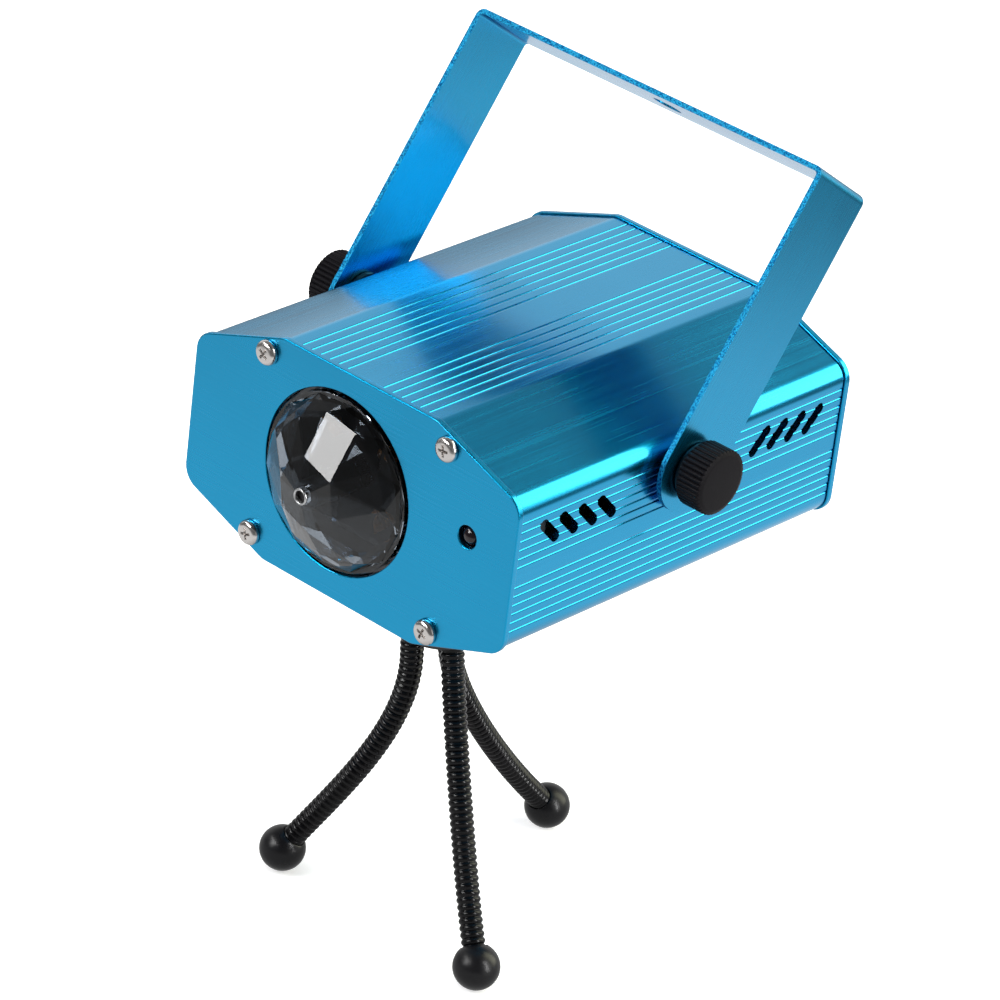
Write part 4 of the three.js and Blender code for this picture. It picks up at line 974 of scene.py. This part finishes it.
def ribbed_hose(name, line, start):
    """A hose of round ribs along a line, by a geometry node tree. start is the distance already run."""
    curve = bpy.data.curves.new(name, "CURVE")
    curve.dimensions = "3D"
    spline = curve.splines.new("POLY")
    spline.points.add(len(line) - 1)
    for point, place in zip(spline.points, line):
        point.co = (*place, 1)
    sizes = {"Pitch": HOSE_PITCH, "Valley": HOSE_VALLEY, "Crest": HOSE_RADIUS, "Start": start}
    tree = PieceTree(name, Centre_Line="Geometry", **dict.fromkeys(sizes, "Float"))
    centre, pitch, valley, crest, run = (tree.start[i] for i in range(5))
    resample = tree.add("GeometryNodeResampleCurve", mode="LENGTH")
    tree.link(centre, resample.inputs["Curve"])
    tree.link(tree.math("DIVIDE", pitch, 10.0), resample.inputs["Length"])
    along = tree.math("ADD", tree.add("GeometryNodeSplineParameter").outputs["Length"], run)
    turns = tree.math("MULTIPLY", tree.math("DIVIDE", along, pitch), math.pi)
    wave = tree.math("POWER", tree.math("ABSOLUTE", tree.math("SINE", turns)), 0.7)
    radius = tree.math("ADD", valley, tree.math("MULTIPLY", tree.math("SUBTRACT", crest, valley), wave))
    section, solid = tree.add("GeometryNodeCurvePrimitiveCircle"), tree.add("GeometryNodeCurveToMesh")
    section.inputs["Resolution"].default_value = 32
    section.inputs["Radius"].default_value = 1.0
    tree.link(resample.outputs["Curve"], solid.inputs["Curve"])
    tree.link(section.outputs["Curve"], solid.inputs["Profile Curve"])
    tree.link(radius, solid.inputs["Scale"])
    solid.inputs["Fill Caps"].default_value = True
    hose = tree.run(new_object(name, curve), solid.outputs["Mesh"], Finish=MATERIALS["hose"],
                    **{label: float(size) for label, size in sizes.items()})
    return changed(hose, face_outward)


def bearing(degrees):
    """A level direction at an angle from X."""
    angle = math.radians(degrees)
    return Vector((math.cos(angle), math.sin(angle), 0))


def make_leg(name, index):
    leg = LEGS[name]
    pivot = Vector((STAND_X, STAND_Y, LEG_PIVOT_Z)) + LEG_CIRCLE * bearing(LEG_PHASE + 120 * index)
    outward = bearing(leg["heading"])
    points, leaving, arriving = leg_points(leg)

    def placed(point):
        return pivot + outward * point[0] + Vector((0, 0, point[1]))

    total = sum((b - a).length for a, b in zip(points[1:], points[2:]))
    split = HOSE_PITCH * round(0.3 * total / HOSE_PITCH)
    start = -2 * HOSE_PITCH + 0.5
    root = ribbed_hose(name + "_hose_root", [placed(p) for p in cut_line(points, start, split)], start)
    rest = ribbed_hose(name + "_hose", [placed(p) for p in cut_line(points, split, total - 3)], split)
    top = (MIDDLE + placed((0, 0))) * MM
    below = (MIDDLE + placed(leaving * 12)) * MM
    finish_piece(root, None, None, [f"leg_{name}_upper"], degrees=0,
                 blend=("stand", f"{name}_leg_upper", top, below))
    bend, tangent = Vector(leg["bend"]), Vector(leg["tangent"])
    before, after = ((MIDDLE + placed(bend + tangent * reach)) * MM for reach in (-8, 8))
    finish_piece(rest, None, None, [f"leg_{name}_lower"], degrees=0,
                 blend=(f"{name}_leg_upper", f"{name}_leg_lower", before, after))
    for piece in (root, rest):
        smooth(piece, 60)
    mouth = HOSE_RADIUS + 0.12
    low = math.asin(mouth / FOOT_RADIUS)
    profile = [(0, 2.2), (mouth, 2.2)]
    for k in range(33):
        angle = low + (math.pi - low) * k / 32
        profile.append((FOOT_RADIUS * math.sin(angle) if k < 32 else 0, FOOT_RADIUS * math.cos(angle)))
    ball = bevelled(turned(name + "_ball_foot", profile, 64), 0.18, 3, 40)
    back = -(outward * arriving.x + Vector((0, 0, arriving.y)))
    ball.data.transform(aimed(placed(points[-1]), back))
    finish_piece(ball, "foot", name + "_leg_lower", ["foot_" + name], degrees=45)
    return placed((0, 0)), outward * leaving.x + Vector((0, 0, leaving.y))


def make_stand():
    roots = [make_leg(name, index) for index, name in enumerate(LEGS)]
    r, neck, top, bottom = HEAD_RADIUS, NECK_RADIUS, HEAD_TOP, HEAD_TOP - HEAD_HEIGHT
    low, high = (bottom + height for height in NECK)
    profile = [(0, bottom), (r - 0.5, bottom)] + arc((r - 0.5, bottom + 0.5), 0.5, -90, 0, 4)[1:]
    profile += arc((r - 0.3, low - 0.3), 0.3, 0, 90, 3)
    profile += [(neck + 0.1, low), (neck, low + 0.1), (neck, high - 0.1), (neck + 0.1, high)]
    profile += arc((r - 0.3, high + 0.3), 0.3, -90, 0, 3)
    profile += arc((r - 0.4, top - 0.4), 0.4, 0, 90, 4) + [(0, top)]
    head = turned("stand_hub", profile, 96)
    head.data.transform(Matrix.Translation((STAND_X, STAND_Y, 0)))
    for place, direction in roots:
        hole = rod("leg_hole", LEG_HOLE, -6, 5, 48)
        hole.data.transform(aimed(place, direction))
        head = joined_with(head, hole)
    finish_piece(head, "black", "stand", ["stand_head"])
    thick, inner = PAD_THICKNESS, PAD_INNER
    pad = turned("grip_pad", [(inner, 0), (r - 0.2, 0), (r, 0.2), (r, thick - 0.2), (r - 0.2, thick),
                              (inner, thick), (inner, 0)], 96)
    pad.data.transform(Matrix.Translation((STAND_X, STAND_Y, HEAD_TOP + 0.3)))
    finish_piece(pad, "rubber", "stand", ["stand_pad"])


# Lens and what is behind it


def facets(name, radius, height, rings, bottom):
    """A faceted cap. Its corners lie on one sphere, in rings of (radius, how many, first angle)."""
    sphere = (radius ** 2 + height ** 2) / (2 * height)
    bm = bmesh.new()
    levels = [(r, count, start, math.sqrt(sphere ** 2 - r ** 2) - (sphere - height))
              for r, count, start in rings]
    levels += [(radius, rings[-1][1], rings[-1][2] + 15, level) for level in (0, bottom)]
    for ring_radius, count, start, level in levels:
        for i in range(count):
            angle = math.radians(start + 360 * i / count)
            bm.verts.new((ring_radius * math.cos(angle), ring_radius * math.sin(angle), level))
    hull = bmesh.ops.convex_hull(bm, input=bm.verts)
    bmesh.ops.delete(bm, geom=list(set(hull["geom_interior"]) | set(hull["geom_unused"])), context="VERTS")
    bmesh.ops.dissolve_limit(bm, angle_limit=math.radians(0.6), verts=bm.verts, edges=bm.edges)
    return from_bmesh(name, bm)


def make_lens():
    """Hollow clear dome with flat facets outside and inside."""
    height, inner_height = LENS_HEIGHT, LENS_HEIGHT - LENS_WALL
    dome = bevelled(facets("faceted_lens", LENS_RADIUS, height, OUTER_FACETS, -0.8), 0.12, 2, 3)
    skirt = turned("lens_skirt", [(0, -5), (SKIRT_RADIUS, -5), (SKIRT_RADIUS, -0.15),
                                  (SKIRT_RADIUS - 0.15, 0), (0, 0)], 128)
    dome = joined_with(dome, skirt, "UNION")
    dome = joined_with(dome, rod("lens_flange", FLANGE_RADIUS, -3.1, -2.1, 128), "UNION")
    dome = joined_with(dome, facets("lens_hollow", 17.7, inner_height, INNER_FACETS, -6))
    dome = joined_with(dome, rod("lens_hole", 1.9, 3, height + 2, 64))
    hub = turned("lens_hub", [
        (1.6, -4), (3.1, -4), (3.1, inner_height - 0.35), (1.85, inner_height - 0.2), (1.85, height - 0.55),
        (1.25, height - 0.55), (1.25, height - 0.9), (0, height - 0.9), (0, 3.3), (1.6, 3.3), (1.6, -4),
    ], 64)
    profile = arc((EYELET_RADIUS, height + 0.02), 0.27, 180, 0, 12)
    profile = [(1.3, height - 0.5), *profile, (1.85, height - 0.5), (1.3, height - 0.5)]
    eyelet = turned("lens_eyelet", profile, 64)
    for piece, finish, slot, degrees in (
        (dome, "lens", "clear_acrylic", 3), (hub, "black", "black_plastic", 32),
        (eyelet, "zinc", "zinc_steel", 32),
    ):
        along_axis(piece, "-y", LENS_X, FRONT_FACE - 0.3, LENS_Z)
        finish_piece(piece, finish, "lens", ["lens_dome"], degrees)


def make_receiver():
    nose = FRONT_FACE - 0.1
    profile = [(0, -3.2), (2.2, -3.2)] + arc((0, -WINDOW_RADIUS), WINDOW_RADIUS, 22, 90, 12)[:-1] + [(0, 0)]
    window = along_axis(turned("receiver_window", profile, 64), "-y", RECEIVER_X, nose, RECEIVER_Z)
    width, height, depth = RECEIVER_BODY
    body = flat_solid("receiver_body", [rectangle(width, height)], depth, 0.2, 2)
    stand_up(body, -HOUSING_LENGTH / 2 + 2.35)
    body.data.transform(Matrix.Translation((RECEIVER_X, 0, RECEIVER_Z)))
    finish_piece(window, "window", "housing", ["remote_receiver"])
    finish_piece(body, "window", "housing", ())


def make_inner_finishes():
    """CAD pieces that stay as they are, each with the material of its slot."""
    finishes = {
        # The lamp carrier's black plastic is painted shade for the inside of the housing.
        "gear_motor": "aluminium", "lamp_carrier": "black", "drive_shaft": "zinc", "stand_screw": "zinc",
        "clamp_stud_right": "zinc", "clamp_stud_left": "zinc", "side_insert_right": "dark_zinc",
        "side_insert_left": "dark_zinc", "base_insert": "brass", "lamp_board": "lamp_board",
        "control_board": "green", "board_capacitor": "black", "board_chip": "black", "button_switch": "black",
        "fan_frame": "black", **{f"light_emitter_{i}": "emitter" for i in range(1, 5)},
    }
    for node, finish in finishes.items():
        mesh = bpy.data.objects[node].data
        mesh.materials.clear()
        mesh.materials.append(MATERIALS[finish])


make_housing()
make_front_plate()
make_rear_plate()
make_screws("front_plate_screws", "front_screw", -1, (SCREW_X, SCREW_Z), (14, -22, 8, -35), PLATE_SCREW)
make_screws("rear_plate_screws", "rear_screw", 1, (SCREW_X, SCREW_Z), (5, 31, -17, 40), PLATE_SCREW)
make_screws("fan_mount_screws", "fan_screw", 1, (FAN_SCREWS, FAN_SCREWS), (12, -8, 35, 22), FAN_SCREW, FAN_X)
make_fan_rotor()
make_rear_fittings()
make_yoke()
make_knob(1, "right")
make_knob(-1, "left")
make_stand()
make_lens()
make_receiver()
make_inner_finishes()


# Camera, light and floor


def make_camera():
    level = math.cos(ELEVATION)
    back = Vector((math.sin(AZIMUTH) * level, -math.cos(AZIMUTH) * level, math.sin(ELEVATION)))
    right = Vector((0, 0, 1)).cross(back).normalized()
    up = back.cross(right)
    right, up = (right * math.cos(ROLL) + up * math.sin(ROLL), up * math.cos(ROLL) - right * math.sin(ROLL))
    place = (MIDDLE + back * DISTANCE + right * CAMERA_RIGHT + up * CAMERA_UP) * MM
    data = bpy.data.cameras.new("camera")
    data.sensor_width = SENSOR_WIDTH
    data.lens = FOCAL_PIXELS * SENSOR_WIDTH / PHOTO_WIDTH
    data.clip_start, data.clip_end = 0.01, 50
    camera = new_object("camera", data)
    camera.matrix_world = Matrix.Translation(place) @ Matrix((right, up, back)).transposed().to_4x4()
    bpy.context.scene.camera = camera


def soft_box(name, direction, distance, width, height, strength, colour=(1, 1, 1)):
    """A rectangular lamp that faces the housing from a direction. Its sizes are in metres."""
    data = bpy.data.lights.new(name, "AREA")
    data.shape = "RECTANGLE"
    data.size, data.size_y = width, height
    data.energy, data.color = strength, colour
    lamp = new_object(name, data)
    direction = Vector(direction).normalized()
    lamp.location = MIDDLE * MM + direction * distance
    lamp.rotation_euler = direction.to_track_quat("Z", "Y").to_euler()
    return lamp


def make_world():
    """White to the camera, plain grey to matt surfaces, and a studio with a dark front to gloss and glass."""
    n = Nodes("studio", "worlds")
    bpy.context.scene.world = n.block
    n.tree.nodes.clear()
    split = n.add("ShaderNodeSeparateXYZ")
    n.link(n.add("ShaderNodeTexCoord").outputs["Generated"], split.inputs["Vector"])
    steps = (0.0, 0.84), (0.3, 0.98), (0.5, 0.9), (0.62, 0.45), (0.8, 0.28), (1.0, 0.26)
    front = n.ranged(split.outputs["Y"], 0.16, 1.0, -0.45, 0.15, "SMOOTHSTEP")
    studio = n.light("Background", n.ramp(split.outputs["Z"], steps), front)
    camera, gloss = n.rays()
    unseen = n.either(gloss, n.light("Background", strength=0.5), studio)
    seen = n.either(camera, unseen, n.light("Background"))
    n.link(seen, n.add("ShaderNodeOutputWorld").inputs["Surface"])


def make_floor():
    """Pale floor, white to the camera. Gloss sees a pool of light that falls off around the object."""
    bm = bmesh.new()
    bmesh.ops.create_grid(bm, x_segments=1, y_segments=1, size=3)
    floor = from_bmesh("floor", bm, clean=False)
    floor.data.transform(Matrix.Translation((0, 0, -0.0002)))
    n = Nodes("pale_floor")
    n.set(Base_Color=(0.8, 0.8, 0.8), Roughness=0.9, Specular_IOR_Level=0.0)
    place = n.coordinates((1, 1, 0))
    distance = n.add("ShaderNodeVectorMath", operation="LENGTH")
    n.link(place, distance.inputs[0])
    steps = ((0.0, 0.5), (0.2, 0.8), (0.36, 1.0), (0.44, 0.98), (0.56, 0.96), (0.68, 1.0), (0.8, 0.65),
             (1.0, 0.22))
    pool = n.ramp(n.math("MULTIPLY", distance.outputs["Value"], 2.0), steps)
    unit = n.add("ShaderNodeVectorMath", operation="NORMALIZE")
    n.link(place, unit.inputs[0])
    toward = n.add("ShaderNodeVectorMath", operation="DOT_PRODUCT")
    n.link(unit.outputs["Vector"], toward.inputs[0])
    toward.inputs[1].default_value = (0.72, 0.69, 0)
    level = n.math("ADD", n.math("MULTIPLY", toward.outputs["Value"], 0.05), 0.95)
    bright = n.add("ShaderNodeAddShader")
    plain = n.shader.outputs["BSDF"]
    n.link(plain, bright.inputs[0])
    far = n.ranged(distance.outputs["Value"], 0.45, 1.0, 0.4, 2.2)
    n.link(n.light("Emission", strength=far), bright.inputs[1])
    camera, gloss = n.rays()
    seen = n.either(camera, plain, bright.outputs["Shader"])
    seen = n.either(gloss, seen, n.light("Emission", pool, level))
    n.link(seen, n.tree.nodes["Material Output"].inputs["Surface"])
    floor.data.materials.append(n.block)


make_camera()
make_world()
make_floor()
soft_box("key", (-0.37, -0.82, 0.43), 1.3, 0.36, 0.36, 5.5)
soft_box("back_right", (0.43, 0.69, 0.5), 1.6, 0.9, 1.75, 19, (1, 1, 0.75))
soft_box("right_strip", (0.98, 0.1, 0.38), 1.2, 0.12, 1.0, 11)
soft_box("front_strip", (-0.405, -0.7, 0.588), 1.3, 1.3, 0.14, 7)
overhead = soft_box("overhead", (-0.1, -0.2, 1), 1.8, 1.2, 1.2, 16)
overhead.visible_glossy = False
overhead.visible_transmission = False
bpy.context.scene.view_settings.view_transform = "Standard"
